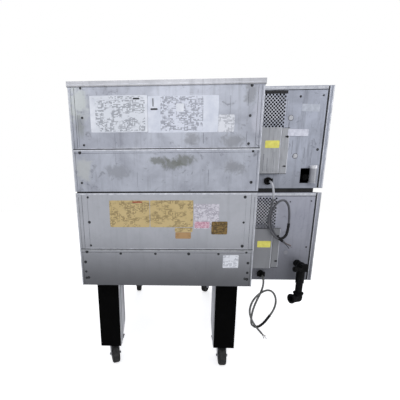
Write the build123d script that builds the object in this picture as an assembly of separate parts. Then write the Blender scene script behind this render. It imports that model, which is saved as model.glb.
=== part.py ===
from build123d import *
import math
import os

os.makedirs("parts", exist_ok=True)

# Double-deck gas conveyor pizza oven, seen best from its rear.
# Two equal decks stand on four legs with casters. Each deck has a cooking body with a rear
# motor shroud, and a control cabinet beside it that stops short of the shroud.
# X runs across the oven, the rear is at +Y, Z is up, the origin is on the floor below the middle.

# Driving dimensions in millimetres
body_width = 950.0
body_depth = 1400.0
shroud_depth = 118.0
cabinet_width = 380.0
deck_height = 520.0
deck_seam = 8.0
cabinet_gap = 12.0
leg_height = 465.0
leg_width = 130.0
leg_depth = 170.0
leg_inset = 48.0
leg_foot_depth = 40.0
leg_taper_height = 105.0
caster_height = 150.0
wheel_diameter = 125.0
wheel_width = 48.0
caster_trail = 30.0
sheet = 2.0
leg_sheet = 3.0
cap_lip = 25.0
cap_overhang = 4.0
handle_reach = 62.0
handle_diameter = 18.0
door_width = 560.0
door_height = 250.0
door_thickness = 22.0
belt_width = 880.0
belt_thickness = 4.0
sprocket_diameter = 42.0
shaft_diameter = 19.0
rail_thickness = 3.0
product_clearance = 80.0
finger_width = 160.0
finger_height = 70.0
finger_count = 4
blower_diameter = 260.0
blower_width = 90.0
blade_count = 16
motor_diameter = 150.0
motor_length = 78.0
fan_diameter = 120.0
fan_blade_count = 5
panel_seam_drop = 312.0
panel_margin = 30.0
vent_pitch = 12.5
vent_hole = 10.4
vent_rows = 19
vent_columns = 15
pipe_diameter = 40.0
pipe_stand = 62.0
cord_diameter = 11.5
fit_gap = 0.05
cut = 1.0

# Levels and faces that follow from the driving dimensions
total_width = cabinet_width + body_width + cap_overhang
total_depth = handle_reach + body_depth + shroud_depth + cap_overhang
x_cabinet = -total_width / 2
x_wall = x_cabinet + cabinet_width
x_side = x_wall + body_width
y_front = -total_depth / 2 + handle_reach
y_back = y_front + body_depth
y_shroud = y_back + shroud_depth
z_lower = caster_height + leg_height
z_upper = z_lower + deck_height
z_top = z_upper + deck_height
deck_body = deck_height - deck_seam
cabinet_height = deck_height - cabinet_gap
decks = {"lower": z_lower, "upper": z_upper}
cabinet_lift = {"lower": 0.0, "upper": cabinet_gap}

# Conveyor levels above a deck's underside, and the belt's place along the depth
tunnel_floor = 150.0
tray_height = 25.0
tray_headroom = 16.0
belt_axis = tunnel_floor + tray_height + tray_headroom + belt_thickness + sprocket_diameter / 2
belt_top = belt_axis + sprocket_diameter / 2 + belt_thickness
belt_bottom = belt_axis - sprocket_diameter / 2 - belt_thickness
roof_clearance = 6.0
tunnel_roof = belt_top + product_clearance + roof_clearance
tunnel_margin = 32.0
belt_setback = 96.0
belt_front = y_front + belt_setback
belt_back = belt_front + belt_width
mouth_front = belt_front - tunnel_margin
mouth_back = belt_back + tunnel_margin
wall_gap = 45.0
shaft_inset = 40.0
drive_x = x_cabinet + shaft_inset
idler_x = x_side - shaft_inset
chamber_floor_gap = 14.0
chamber_roof_gap = 12.0
chamber_floor = belt_bottom - finger_height - chamber_floor_gap
chamber_roof = tunnel_roof + finger_height + chamber_roof_gap


def block(x0, x1, y0, y1, z0, z1):
    """A box between two corners."""
    return Pos((x0 + x1) / 2, (y0 + y1) / 2, (z0 + z1) / 2) * Box(x1 - x0, y1 - y0, z1 - z0)


def block_about(x, z, half_x, half_z, y0, y1):
    """A box centred on a line along Y."""
    return block(x - half_x, x + half_x, y0, y1, z - half_z, z + half_z)


def rod_x(radius, x0, x1, y, z):
    """A round bar along X."""
    return Pos((x0 + x1) / 2, y, z) * Rot(0, 90, 0) * Cylinder(radius, x1 - x0)


def rod_y(radius, x, y0, y1, z):
    """A round bar along Y."""
    return Pos(x, (y0 + y1) / 2, z) * Rot(90, 0, 0) * Cylinder(radius, y1 - y0)


def rod_z(radius, x, y, z0, z1):
    """A round bar along Z."""
    return Pos(x, y, (z0 + z1) / 2) * Cylinder(radius, z1 - z0)


def slab_z(points, z0, z1):
    """An outline of X and Y points, made thick from z0 to z1."""
    return Pos(0, 0, z0) * extrude(make_face(Polyline(*points, close=True)), z1 - z0, dir=(0, 0, 1))


def slab_x(points, x0, x1):
    """An outline of Y and Z points, made thick from x0 to x1."""
    face = Plane.YZ * make_face(Polyline(*points, close=True))
    return Pos(x0, 0, 0) * extrude(face, x1 - x0, dir=(1, 0, 0))


def plates_around_mouth(x0, x1, y0, y1, z0, z1, z):
    """Four plates in one plane that leave a deck's belt mouth open between them."""
    low, high = z + tunnel_floor, z + tunnel_roof
    return [block(x0, x1, y0, y1, z0, low), block(x0, x1, y0, y1, high, z1),
            block(x0, x1, y0, mouth_front, low, high), block(x0, x1, mouth_back, y1, low, high)]


def mouth_sleeve(x0, x1, z):
    """Floor, roof, front and rear plates that line a belt mouth from x0 to x1."""
    low, high = z + tunnel_floor, z + tunnel_roof
    y0, y1 = mouth_front, mouth_back
    return [block(x0, x1, y0, y1, low, low + sheet), block(x0, x1, y0, y1, high - sheet, high),
            block(x0, x1, y0, y0 + sheet, low + sheet, high - sheet),
            block(x0, x1, y1 - sheet, y1, low + sheet, high - sheet)]


def frame_bars(x0, x1, y0, y1, z0, z1, width):
    """Two long and two short bars that make a flat rectangular frame."""
    return [block(x0, x0 + width, y0, y1, z0, z1), block(x1 - width, x1, y0, y1, z0, z1),
            block(x0 + width, x1 - width, y0, y0 + width, z0, z1),
            block(x0 + width, x1 - width, y1 - width, y1, z0, z1)]


def save(name, *shapes):
    """Write one sub-part, a single solid or a group of separate ones."""
    solids = [solid for shape in shapes for solid in shape.solids()]
    part = solids[0] if len(solids) == 1 else Compound(children=solids)
    part.label = name
    export_step(part, f"parts/{name}.step")


# Body shell of a deck: floor, roof and back sheets between side panels that leave the belt mouths
burner_level = 62.0
burner_diameter = 56.0
burner_hole_gap = 2.0
burner_inset = 265.0
burner_y = y_back - burner_inset
blower_x = x_wall + body_width / 2
blower_level = (chamber_floor + chamber_roof) / 2
blower_shaft_radius = 8.0
blower_shaft_gap = 5.0


def body_shell(z):
    """Sheet box around the insulation and the cooking chamber."""
    inner0, inner1 = x_wall + sheet, x_side - sheet
    y0, top = y_front + sheet, z + deck_body
    floor = block(inner0, inner1, y0, y_back, z, z + sheet)
    roof = block(inner0, inner1, y0, y_back, top - sheet, top)
    back = block(inner0, inner1, y_back - sheet, y_back, z + sheet, top - sheet)
    back -= rod_y(blower_shaft_radius + blower_shaft_gap, blower_x, y_back - sheet - cut,
                  y_back + cut, z + blower_level)
    wall_low, *wall_rest = plates_around_mouth(x_wall, inner0, y0, y_back, z, top, z)
    wall_low -= rod_x(burner_diameter / 2 + burner_hole_gap, x_wall - cut, inner0 + cut, burner_y,
                      z + burner_level)
    return [floor, roof, back, wall_low, *wall_rest,
            *plates_around_mouth(inner1, x_side, y0, y_back, z, top, z)]


# Cooking chamber: floor, roof, front and rear, and ends whose belt mouths are lined by sleeves
chamber_front_gap = 50.0
chamber_rear_gap = 30.0
chamber_x0 = x_wall + wall_gap
chamber_x1 = x_side - wall_gap
chamber_y0 = y_front + chamber_front_gap
chamber_y1 = mouth_back + chamber_rear_gap
door_side_border = 65.0
door_top_border = 60.0
window_width = door_width - 2 * door_side_border
window_height = door_height - 2 * door_top_border
window_rise = 36.0
window_level = belt_top + window_rise
inlet_lip = 55.0
inlet_radius = blower_diameter / 2 - inlet_lip


def window_port(z, y0, y1, grown=0.0):
    """The window's clear opening from y0 to y1, grown on its four sides."""
    return block_about(blower_x, z + window_level, window_width / 2 + grown,
                       window_height / 2 + grown, y0, y1)


def cooking_chamber(z):
    """Liner of one deck's chamber."""
    low, high = z + chamber_floor, z + chamber_roof
    x0, x1 = chamber_x0 + sheet, chamber_x1 - sheet
    floor = block(x0, x1, chamber_y0, chamber_y1, low, low + sheet)
    roof = block(x0, x1, chamber_y0, chamber_y1, high - sheet, high)
    front = block(x0, x1, chamber_y0, chamber_y0 + sheet, low + sheet, high - sheet)
    rear = block(x0, x1, chamber_y1 - sheet, chamber_y1, low + sheet, high - sheet)
    inlet = rod_y(inlet_radius, blower_x, chamber_y1 - sheet - cut, chamber_y1 + cut,
                  z + blower_level)
    ends = [plate for x in (chamber_x0, chamber_x1 - sheet)
            for plate in plates_around_mouth(x, x + sheet, chamber_y0, chamber_y1, low, high, z)]
    return [floor, roof, front - window_port(z, chamber_y0 - cut, chamber_y0 + sheet + cut),
            rear - inlet, *ends, *mouth_sleeve(x_wall, chamber_x0, z),
            *mouth_sleeve(chamber_x1, x_side, z)]


# Jet fingers: tapered air boxes above and below the belt, fed from the plenum at the rear
finger_pitch = (chamber_x1 - chamber_x0) / finger_count
finger_tip = 0.45
finger_front_gap = 12.0
finger_belt_gap = 10.0
jet_hole_radius = 9.0
jet_row_count = 8
jet_row_pitch = 110.0
jet_first_row = 60.0


def jet_finger(x, z_face, up):
    """Folded panels of one air box, open at the rear. Its flat face with the jets looks at the belt."""
    y0, y1 = chamber_y0 + finger_front_gap, chamber_y1 - sheet
    tip, root, wall = z_face + up * finger_height * finger_tip, z_face + up * finger_height, up * sheet
    x0, x1 = x - finger_width / 2, x + finger_width / 2
    side = ((y0, z_face), (y1, z_face), (y1, root), (y0, tip))
    sides = [slab_x(side, x0, x0 + sheet), slab_x(side, x1 - sheet, x1)]
    slope = slab_x(((y0, tip), (y1, root), (y1, root - wall), (y0, tip - wall)), x0 + sheet, x1 - sheet)
    face_z = sorted((z_face, z_face + wall))
    face = block(x0 + sheet, x1 - sheet, y0, y1, *face_z)
    face -= [rod_z(jet_hole_radius, x + column * finger_width / 4, y0 + jet_first_row + row * jet_row_pitch,
                   face_z[0] - cut, face_z[1] + cut)
             for column in (-1, 1) for row in range(jet_row_count)]
    nose = block(x0 + sheet, x1 - sheet, y0, y0 + sheet, *sorted((z_face + wall, tip - wall)))
    return [*sides, slope, face, nose]


def jet_fingers(z):
    """A row of fingers over the belt and one under it."""
    panels = []
    for index in range(finger_count):
        x = chamber_x0 + finger_pitch * (index + 0.5)
        panels += jet_finger(x, z + tunnel_roof, 1)
        panels += jet_finger(x, z + belt_bottom - finger_belt_gap, -1)
    return panels


# Rear shroud: posts, end sheets and rails that hold the removable rear panels
post = 24.0
rail = 20.0
flange_strip = 18.0
flange_gap = 0.8
panel_gap = 3.0
panel_side_gap = 1.0


def shroud_frame(z):
    """Frame of one deck's motor shroud."""
    top, seam = z + deck_body, z + deck_height - panel_seam_drop
    y0, y1 = y_back, y_shroud - sheet
    inner0, inner1 = x_wall + sheet, x_side - sheet
    ends = [block(x_wall, inner0, y0, y1, z, top), block(inner1, x_side, y0, y1, z, top)]
    posts = [block(x, x + post, y1 - post, y1, z + sheet, top - sheet)
             for x in (inner0, inner1 - post)]
    covers = [block(inner0, inner1, y0, y1, level, level + sheet) for level in (z, top - sheet)]
    rails = [block(inner0 + post, inner1 - post, y1 - rail, y1, low, high)
             for low, high in ((seam - rail, seam + rail / 2), (z + sheet, z + sheet + rail),
                               (top - sheet - rail, top - sheet))]
    return ends + posts + covers + rails


def rear_panels(z):
    """Upper and lower rear sheets with the margins beside them and the flange under the seam."""
    top, seam = z + deck_body, z + deck_height - panel_seam_drop
    y0, y1 = y_shroud - sheet, y_shroud
    left, right = x_wall + panel_margin, x_side - panel_margin
    upper = block(left + panel_side_gap, right - panel_side_gap, y0, y1, seam + panel_gap, top)
    lower = block(x_wall, x_side, y0, y1, z, seam - flange_strip)
    strip = block(x_wall, x_side, y0, y1, seam - flange_strip + flange_gap, seam)
    margins = [block(x_wall, left, y0, y1, seam + panel_gap, top),
               block(right, x_side, y0, y1, seam + panel_gap, top)]
    return [upper, lower, strip] + margins


# Cover sheet of the upper deck
cap_wall_gap = 1.0


def top_cap():
    """Cover sheet with folded lips that hang over the shroud and the open side."""
    z0, lip_low = z_top - deck_seam, z_top - cap_lip
    outer0, outer1 = x_wall - cap_overhang, x_side + cap_overhang
    step, back = y_back + cap_wall_gap, y_shroud + cap_overhang
    front_fold = block(x_wall, x_side, y_front, y_front + sheet, z0, z_top)
    inner_fold = block(x_wall, x_wall + sheet, y_front, y_back, z0, z_top)
    cover = block(x_wall, outer1, y_front, y_shroud, z_top - sheet, z_top)
    rear_cover = block(outer0, outer1, step, back, z_top - sheet, z_top)
    rear_lip = block(outer0, outer1, y_shroud, back, lip_low, z_top)
    side_lip = block(x_side, outer1, y_front, back, lip_low, z_top)
    short_lip = block(outer0, x_wall, step, back, lip_low, z_top)
    return front_fold + inner_fold + cover + rear_cover + rear_lip + side_lip + short_lip


# Control cabinet: outer panels around the belt mouth, roof, floor, and a tunnel around the belt
cabinet_frame = 22.0
edge_gap = 9.0
shaft_hole_gap = 2.0


def cabinet_box(name, z):
    """Lowest and highest level of a deck's cabinet."""
    low = z + cabinet_lift[name]
    return low, low + cabinet_height


def cabinet_shell(name, z):
    """Sheets of the cabinet and the belt tunnel through it."""
    low, high = cabinet_box(name, z)
    x0, x1 = x_cabinet + sheet, x_wall
    y0, y1 = y_front + sheet, y_back - sheet
    outer = plates_around_mouth(x_cabinet, x0, y0, y1, low, high, z)
    floor = block(x0, x1, y0, y1, low, low + sheet)
    roof = block(x0, x1, y0, y1, high - sheet, high)
    rear_post = block(x0, x_cabinet + cabinet_frame, y1 - cabinet_frame, y1, low + sheet, high - sheet)
    *tunnel, tunnel_rear = mouth_sleeve(x0, x1, z)
    tunnel_rear -= rod_y(shaft_diameter / 2 + shaft_hole_gap, drive_x, mouth_back - sheet - cut,
                         mouth_back + cut, z + belt_axis)
    return [*outer, floor, roof, rear_post, *tunnel, tunnel_rear]


# Rear panel of the cabinet. Places are given from the body's wall and from the cabinet's top.
half_pitch = vent_pitch / math.sqrt(2)
vent_left = 10.0
vent_drop = 27.0
terminal_width = 176.0
terminal_flange = 36.0
terminal_slant = 16.0
terminal_top = 200.0
terminal_bottom = 430.0
terminal_proud = 26.0
terminal_gap = 2.0
gas_left = 253.0
gas_right = 303.0
gas_top = 403.0
gas_bottom = 481.0
pipe_left = 287.0
inlet_level = 104.0
pipe_hole_gap = 1.0
upper_inlet_left = 310.0
upper_inlet_drop = 450.0
upper_lead_radius = 10.0
upper_lead_gap = 2.0
gland_left = 81.0
gland_drop = 469.0
gland_radius = 14.0
tie_inset = 2.0
knockouts = {"upper": ((175.0, 151.0), (216.0, 340.0)), "lower": ((216.0, 340.0),)}
knockout_radius = 12.0
knockout_crown = 0.55
knockout_step = 2.0


def at_left(distance):
    """X of a place on the cabinet's rear, counted from the body's wall."""
    return x_wall - distance


def vent_centres(top):
    """Centres of the vent's staggered holes, as pairs of X and Z."""
    return [(at_left(vent_left + half_pitch * (column + 0.5)),
             top - vent_drop - half_pitch * (row + 0.5))
            for row in range(vent_rows) for column in range(vent_columns)
            if (row + column) % 2 == 0]


def rear_holes(name, z, y0, y1):
    """Cutters for a rear panel's cord hole, vent and gas openings."""
    top = cabinet_box(name, z)[1]
    holes = [rod_y(gland_radius + fit_gap, at_left(gland_left), y0, y1, top - gland_drop)]
    holes += [rod_y(vent_hole / 2, x, y0, y1, level) for x, level in vent_centres(top)]
    if name == "upper":
        holes.append(block(at_left(gas_right), at_left(gas_left), y0, y1, top - gas_bottom, top - gas_top))
        holes.append(rod_y(upper_lead_radius + upper_lead_gap, at_left(upper_inlet_left), y0, y1,
                           top - upper_inlet_drop))
    else:
        holes.append(rod_y(pipe_diameter / 2 + pipe_hole_gap, at_left(pipe_left), y0, y1,
                           z + inlet_level))
    return holes


def cabinet_back(name, z):
    """Rear panel with its holes, and a narrow strip on the edge post beyond a gap."""
    low, top = cabinet_box(name, z)
    y0, y1 = y_back - sheet, y_back
    edge = x_cabinet + cabinet_frame
    panel = block(edge + edge_gap, x_wall, y0, y1, low, top)
    edge_strip = block(x_cabinet, edge, y0, y1, low, top)
    tie = block(edge, edge + edge_gap, y0, y0 + sheet / 2, low + tie_inset, top - tie_inset)
    return panel + edge_strip + tie - rear_holes(name, z, y0 - cut, y1 + cut)


def terminal_cover(top):
    """Shallow box cover over the mains terminals, with a slanted side and a flange beyond it."""
    x0, x1 = at_left(terminal_width), at_left(terminal_gap)
    low, high = top - terminal_bottom, top - terminal_top
    inner, face = x0 + terminal_flange, y_back + terminal_proud
    fold, bend = inner + terminal_slant, face - sheet
    box = slab_z([(inner, y_back), (x1, y_back), (x1, face), (fold, face)], low, high)
    hollow = slab_z([(inner + sheet, y_back - cut), (x1 - sheet, y_back - cut), (x1 - sheet, bend),
                     (fold + sheet / 2, bend), (inner + sheet, y_back)], low + sheet, high - sheet)
    flange = block(x0, inner + sheet / 2, y_back, y_back + sheet, low, high)
    return box + flange - hollow


def knockout_plugs(name, top):
    """Round blanking plugs in the unused holes of the rear panel."""
    plugs = []
    for left, drop in knockouts[name]:
        x, level, crown_y = at_left(left), top - drop, y_back + knockout_step
        disc = rod_y(knockout_radius, x, y_back, crown_y, level)
        crown = rod_y(knockout_radius * knockout_crown, x, crown_y, crown_y + knockout_step, level)
        plugs.append(disc + crown)
    return plugs


# Gas inlet: a pipe with a union that leaves the panel, drops and ends in a rounded elbow
pipe_lead = 40.0
bend_swell = 3.0
union_radius = 24.0
union_low = 6.0
union_high = 80.0
union_side_count = 8
riser_step = 1.0
elbow_drop = 111.0
elbow_reach = 50.0
elbow_turn = 20.0
elbow_collar = 34.0
collar_step = 4.0
collar_radius = pipe_diameter / 2 + collar_step
bead = 4.0
bead_width = 8.0
port_step = 4.0
port_radius = pipe_diameter / 2 - port_step


def pipe_elbow():
    """Elbow at the origin, with a beaded neck upwards and a beaded mouth along +X."""
    corner = Sphere(collar_radius)
    neck = rod_z(collar_radius, 0, 0, 0, elbow_collar)
    neck_bead = rod_z(collar_radius + bead, 0, 0, elbow_collar - bead_width, elbow_collar)
    mouth = rod_x(collar_radius, 0, elbow_reach, 0, 0)
    rim = rod_x(collar_radius + bead, elbow_reach - bead_width, elbow_reach, 0, 0)
    return corner + neck + neck_bead + mouth + rim


def gas_pipe(z):
    """Lower deck's inlet, from the panel out to the valve and down to the turned elbow."""
    x, y, level = at_left(pipe_left), y_back + pipe_stand, z + inlet_level
    elbow_z = z - elbow_drop + collar_radius
    lead = rod_y(pipe_diameter / 2, x, y_back - pipe_lead, y, level)
    union = Pos(x, y, z + union_low) * extrude(RegularPolygon(union_radius, union_side_count),
                                               union_high - union_low)
    riser = rod_z(pipe_diameter / 2 - riser_step, x, y, elbow_z, level)
    bend = Pos(x, y, level) * Sphere(pipe_diameter / 2 + bend_swell)
    bore = rod_x(port_radius, 0, elbow_reach + cut, 0, 0)
    turn = Pos(x, y, elbow_z) * Rot(0, 0, elbow_turn)
    return lead + bend + riser + union + turn * pipe_elbow() - turn * bore


# Test cock on the gas pipe's bend
cock_half = 17.0
cock_depth = 22.0
cock_half_height = 20.0
tail_radius = 12.0
tail_length = 40.0
tail_drop = 8.0
ring_radius = 16.0
ring_width = 8.0


def gas_cock(z):
    """Square body on the bend, with a ringed and capped tail to one side."""
    x, level = at_left(pipe_left), z + inlet_level
    face = y_back + pipe_stand + pipe_diameter / 2 + bend_swell
    middle, tail_z = face + cock_depth / 2, level - tail_drop
    body = block_about(x, level, cock_half, cock_half_height, face, face + cock_depth)
    tip = x + cock_half + tail_length
    tail = rod_x(tail_radius, x + cock_half, tip, middle, tail_z)
    ring = rod_x(ring_radius, tip - 1.5 * ring_width, tip - ring_width / 2, middle, tail_z)
    return body + tail + ring


# Upper deck's inlet
regulator_low = 482.0
regulator_high = 391.0
regulator_stand = 22.0
regulator_radius = 17.0
regulator_cap = 14.0
regulator_foot = 8.0
inlet_plug_left = 283.0
inlet_plug_drop = 450.5
inlet_plug_radius = 16.0
inlet_plug_depth = 34.0
inlet_plug_proud = 3.0
inlet_nut_height = 7.0


def upper_inlet(top):
    """A capped upright fitting beside a round plug in the square opening."""
    x, y = at_left(upper_inlet_left), y_back + regulator_stand
    low, high = top - regulator_low, top - regulator_high
    stem = rod_z(regulator_radius, x, y, low, high - regulator_cap)
    cap = rod_z(regulator_radius + bead / 2, x, y, high - regulator_cap, high)
    foot = rod_z(regulator_radius + bead, x, y, low, low + regulator_foot)
    lead = rod_y(upper_lead_radius, x, y_back - pipe_lead, y, top - upper_inlet_drop)
    plug_x, plug_z, proud = at_left(inlet_plug_left), top - inlet_plug_drop, y_back + inlet_plug_proud
    plug = rod_y(inlet_plug_radius, plug_x, y_back - inlet_plug_depth, proud, plug_z)
    nut = rod_y(upper_lead_radius, plug_x, proud, proud + inlet_nut_height, plug_z)
    return [stem + cap + foot + lead, plug + nut]


# Cord glands: a clamp connector in the rear panel with a tapered rubber boot
throat_depth = 12.0
gland_nut_step = 6.0
gland_nut_height = 9.0
clamp_half_width = 21.0
clamp_half_height = 13.0
clamp_reach = 22.0
boot_reach = 43.0
boot_root = 10.5
boot_tip = 7.6
cord_straight = 60.0
cord_root = -8.0


def cord_gland(top):
    """Clamp connector that grips the cord, and the boot that the cord leaves."""
    x, level = at_left(gland_left), top - gland_drop
    clamp_face = y_back + clamp_reach
    throat = rod_y(gland_radius, x, y_back - throat_depth, y_back + gland_nut_height, level)
    nut = rod_y(gland_radius + gland_nut_step, x, y_back, y_back + gland_nut_height, level)
    clamp = block_about(x, level, clamp_half_width, clamp_half_height,
                        y_back + gland_nut_height, clamp_face)
    length = boot_reach - clamp_reach
    boot = Pos(x, clamp_face + length / 2, level) * Rot(-90, 0, 0) * Cone(boot_root, boot_tip, length)
    bore = rod_y(cord_diameter / 2 + fit_gap, x, y_back - throat_depth - cut,
                 y_back + boot_reach + cut, level)
    return throat + nut + clamp + boot - bore


# Power cords. Each route is a list of points from the gland: across from the body's wall, out
# from the rear panel, and down from the cabinet's top.
upper_route = (
    (gland_left, cord_root, gland_drop), (gland_left, cord_straight, gland_drop),
    (89, 80, 504), (92, 87, 546),
    (88, 85, 591), (82, 78, 635), (81, 70, 678), (93, 63, 721), (115, 58, 759), (150, 55, 786),
    (188, 54, 771), (196, 54, 727), (197, 55, 682), (194, 57, 638), (185, 59, 594),
    (156, 63, 564), (118, 67, 583), (98, 62, 623), (95, 54, 666), (105, 46, 709),
    (125, 40, 748), (154, 37, 781), (191, 35, 807),
)
lower_route = (
    (gland_left, cord_root, gland_drop), (gland_left, cord_straight, gland_drop),
    (81, 77, 511), (70, 79, 555),
    (53, 78, 599), (39, 75, 642), (30, 73, 687), (27, 69, 733), (34, 62, 777), (73, 54, 794),
    (108, 52, 767), (131, 55, 727), (153, 59, 687), (166, 60, 643), (164, 59, 597),
    (141, 62, 558), (103, 79, 542), (63, 99, 551), (29, 106, 580), (11, 102, 622),
    (7, 95, 667), (18, 89, 711), (39, 84, 752), (66, 80, 788), (95, 71, 823),
)
tape_thickness = 1.4
lead_radius = 1.7
lead_length = 46.0
lead_offset = 2.6
lead_spread = 9.0
lead_swell = 1.2
lead_count = 3
tape_clearance = 0.02
tape_run_count = 3
tape_skip_count = {"lower": 8, "upper": 11}
corner_share = 0.45
gap_sample_count = 240


def route_points(route, top):
    """Points of a cord route in the oven's own axes."""
    return [Vector(at_left(left), y_back + out, top - drop) for left, out, drop in route]


def arc_radii(points):
    """Bend radius at each inner point: the arc uses a share of the shorter run beside it."""
    radii = []
    for before, here, after in zip(points, points[1:], points[2:]):
        back, ahead = before - here, after - here
        half = (180 - back.get_angle(ahead)) / 2
        radii.append(corner_share * min(back.length, ahead.length) / math.tan(math.radians(half)))
    return radii


def cord_path(points):
    """Straight runs joined by arcs."""
    return FilletPolyline(*points, radius=arc_radii(points))


def least_gap(path):
    """Least distance between the cord's own surface at places far apart along it."""
    count = gap_sample_count
    step = path.length / count
    spots = [path @ (index / count) for index in range(count + 1)]
    apart = math.ceil(cord_diameter * 5 / step)
    return min((spots[i] - spots[j]).length for i in range(count + 1)
               for j in range(i + apart, count + 1)) - cord_diameter


def cord(name, points):
    """One unbroken cord swept along its route."""
    path = cord_path(points)
    section = Plane(origin=points[0], z_dir=(points[1] - points[0]).normalized())
    tube = sweep(section * Circle(cord_diameter / 2), path=path)
    ideal = math.pi * (cord_diameter / 2) ** 2 * path.length
    radii = ", ".join(f"{radius:.0f}" for radius in arc_radii(points))
    print(f"{name} length {path.length:.0f} mm, bend radii {radii} mm")
    print(f"{name} volume against section x length {tube.volume / ideal:.4f},",
          f"least gap to itself {least_gap(path):.1f} mm")
    return tube


def tape_wrap(name, points):
    """Tape around the cord along a few of its runs, counted in arcs from the gland."""
    first = tape_skip_count[name]
    path = Wire(cord_path(points).edges()[2 * first:2 * (first + tape_run_count)])
    ring = Circle(cord_diameter / 2 + tape_thickness) - Circle(cord_diameter / 2 + tape_clearance)
    return sweep(Plane(origin=path @ 0, z_dir=path % 0) * ring, path=path)


def bare_leads(points):
    """Three stripped leads that fan out of the cord's end."""
    end = points[-1]
    along = (end - points[-2]).normalized()
    side = along.cross(Vector(0, 1, 0)).normalized()
    over = along.cross(side)
    leads = []
    for index in range(lead_count):
        angle = 2 * math.pi * index / lead_count
        outward = side * math.cos(angle) + over * math.sin(angle)
        root = end + outward * lead_offset
        tip = root + along * lead_length + outward * lead_spread
        middle = root + along * lead_length / 2 + outward * lead_swell
        path = Spline(root, middle, tip, tangents=(along, along + outward / 2))
        leads.append(sweep(Plane(origin=root, z_dir=along) * Circle(lead_radius), path=path))
    return leads


# Conveyor: two side rails with cross bars carry the wire belt between the drive and idler shafts
rail_gap = 12.0
hub_length = 26.0
sprocket_count = 5
rail_low = belt_bottom - 2.0
rail_high = belt_top + 5.0


bar_count = 5
bar_half = 6.0
bar_half_height = 8.0
foot_half = 18.0
foot_inset = 23.0
rail_end_gap = 3.0


def conveyor_frame(z):
    """Side rails with bearing holes, and the bars under the belt's upper strand."""
    front0, back1 = belt_front - rail_gap, belt_back + rail_gap
    rails = []
    for y in (front0, back1 - rail_thickness):
        bar = block(x_cabinet + rail_end_gap, x_side - rail_end_gap, y, y + rail_thickness,
                    z + rail_low, z + rail_high)
        for x in (drive_x, idler_x):
            bar -= rod_y(shaft_diameter / 2 + fit_gap, x, y - cut, y + rail_thickness + cut,
                         z + belt_axis)
        rails.append(bar)
    y0, y1 = front0 + rail_thickness, back1 - rail_thickness
    bars = []
    for index in range(bar_count):
        x = drive_x + (idler_x - drive_x) * (index + 0.5) / bar_count
        bars.append(block_about(x, z + belt_axis, bar_half, bar_half_height, y0, y1))
    feet = [block(x - foot_half, x + foot_half, y, y + rail_thickness, z + tunnel_floor + sheet,
                  z + rail_low)
            for x in (x_side - foot_inset, x_wall + foot_inset, x_wall - foot_inset,
                      x_cabinet + foot_inset)
            for y in (front0, back1 - rail_thickness)]
    return rails + bars + feet


def belt_loop(radius, y0, y1, level):
    """A flat slab with round ends about both shafts."""
    middle = block(drive_x, idler_x, y0, y1, level - radius, level + radius)
    return middle + rod_y(radius, drive_x, y0, y1, level) + rod_y(radius, idler_x, y0, y1, level)


def wire_belt(z):
    """Endless belt as one thin loop around both sprocket rows."""
    inner, level = sprocket_diameter / 2, z + belt_axis
    return belt_loop(inner + belt_thickness, belt_front, belt_back, level) \
        - belt_loop(inner, belt_front - cut, belt_back + cut, level)


sprocket_gap = 0.4
sprocket_step = 5.0
sprocket_width = 4.0
tooth_count = 10


def conveyor_shaft(x, z, front_end, rear_end):
    """Shaft with its row of toothed sprockets."""
    level = z + belt_axis
    shaft = rod_y(shaft_diameter / 2, x, front_end, rear_end, level)
    pitch = belt_width / sprocket_count
    tooth_r = sprocket_diameter / 2 - sprocket_gap
    for index in range(sprocket_count):
        y = belt_front + pitch * (index + 0.5)
        shaft += rod_y(tooth_r - sprocket_step, x, y - hub_length / 2, y + hub_length / 2, level)
        teeth = extrude(RegularPolygon(tooth_r, tooth_count), sprocket_width)
        shaft += Pos(x, y + sprocket_width / 2, level) * Rot(90, 0, 0) * teeth
    return shaft


gearbox_stand = 30.0
gearbox_half = 40.0
gearbox_depth = 60.0
gearbox_shift = 4.0
can_radius = 30.0
can_length = 90.0
can_shift = 6.0
foot_height = 6.0
shaft_overrun = 8.0
drive_motor_y = mouth_back + gearbox_stand
shaft_end = drive_motor_y + gearbox_depth - 5.0
rail_outer_front = belt_front - rail_gap
rail_outer_back = belt_back + rail_gap


def drive_motor(z):
    """Gear motor behind the tunnel in the cabinet, bored for the drive shaft."""
    level, x = z + belt_axis, drive_x + gearbox_shift
    back = drive_motor_y + gearbox_depth
    gearbox = block_about(x, level, gearbox_half, gearbox_half, drive_motor_y, back)
    bore = rod_y(shaft_diameter / 2 + fit_gap, drive_x, drive_motor_y - cut, back + cut, level)
    can = rod_y(can_radius, drive_x + can_shift, back, back + can_length, level)
    foot = block(x - gearbox_half, x + gearbox_half, mouth_back, drive_motor_y,
                 level - gearbox_half, level - gearbox_half + foot_height)
    return gearbox - bore + can + foot


# Crumb tray
tray_end_gap = 60.0
tray_inset = 4.0
tray_side_gap = 6.0
tray_lift = 0.3
tray_length = cabinet_width - tray_end_gap
tray_wall = tray_height - 4.0


def crumb_tray(z):
    """Shallow tray under the belt in the cabinet, drawn out through the outer mouth."""
    low = z + tunnel_floor + sheet + tray_lift
    high = low + tray_wall
    x0, x1 = x_cabinet + tray_inset, x_cabinet + tray_inset + tray_length
    y0, y1 = belt_front - tray_side_gap, belt_back + tray_side_gap
    outer = block(x0, x1, y0, y1, low, high)
    hollow = block(x0 + sheet, x1 - sheet, y0 + sheet, y1 - sheet, low + sheet, high + cut)
    return outer - hollow


# Blowers: a wheel in the plenum on the shaft of a motor that hangs in the rear shroud
blower_setback = 70.0
blower_y1 = y_back - blower_setback
blower_y0 = blower_y1 - blower_width
blower_plate = 3.0
blade_chord = 30.0
blade_inset = 17.0
blade_angle = 28.0
ring_width_blower = 34.0
hub_radius = 22.0
hub_depth = 40.0
hub_proud = 8.0
blower_shaft_reach = 60.0
motor_flange_half = 95.0
motor_flange_depth = 4.0
end_bell_step = 12.0


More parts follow.
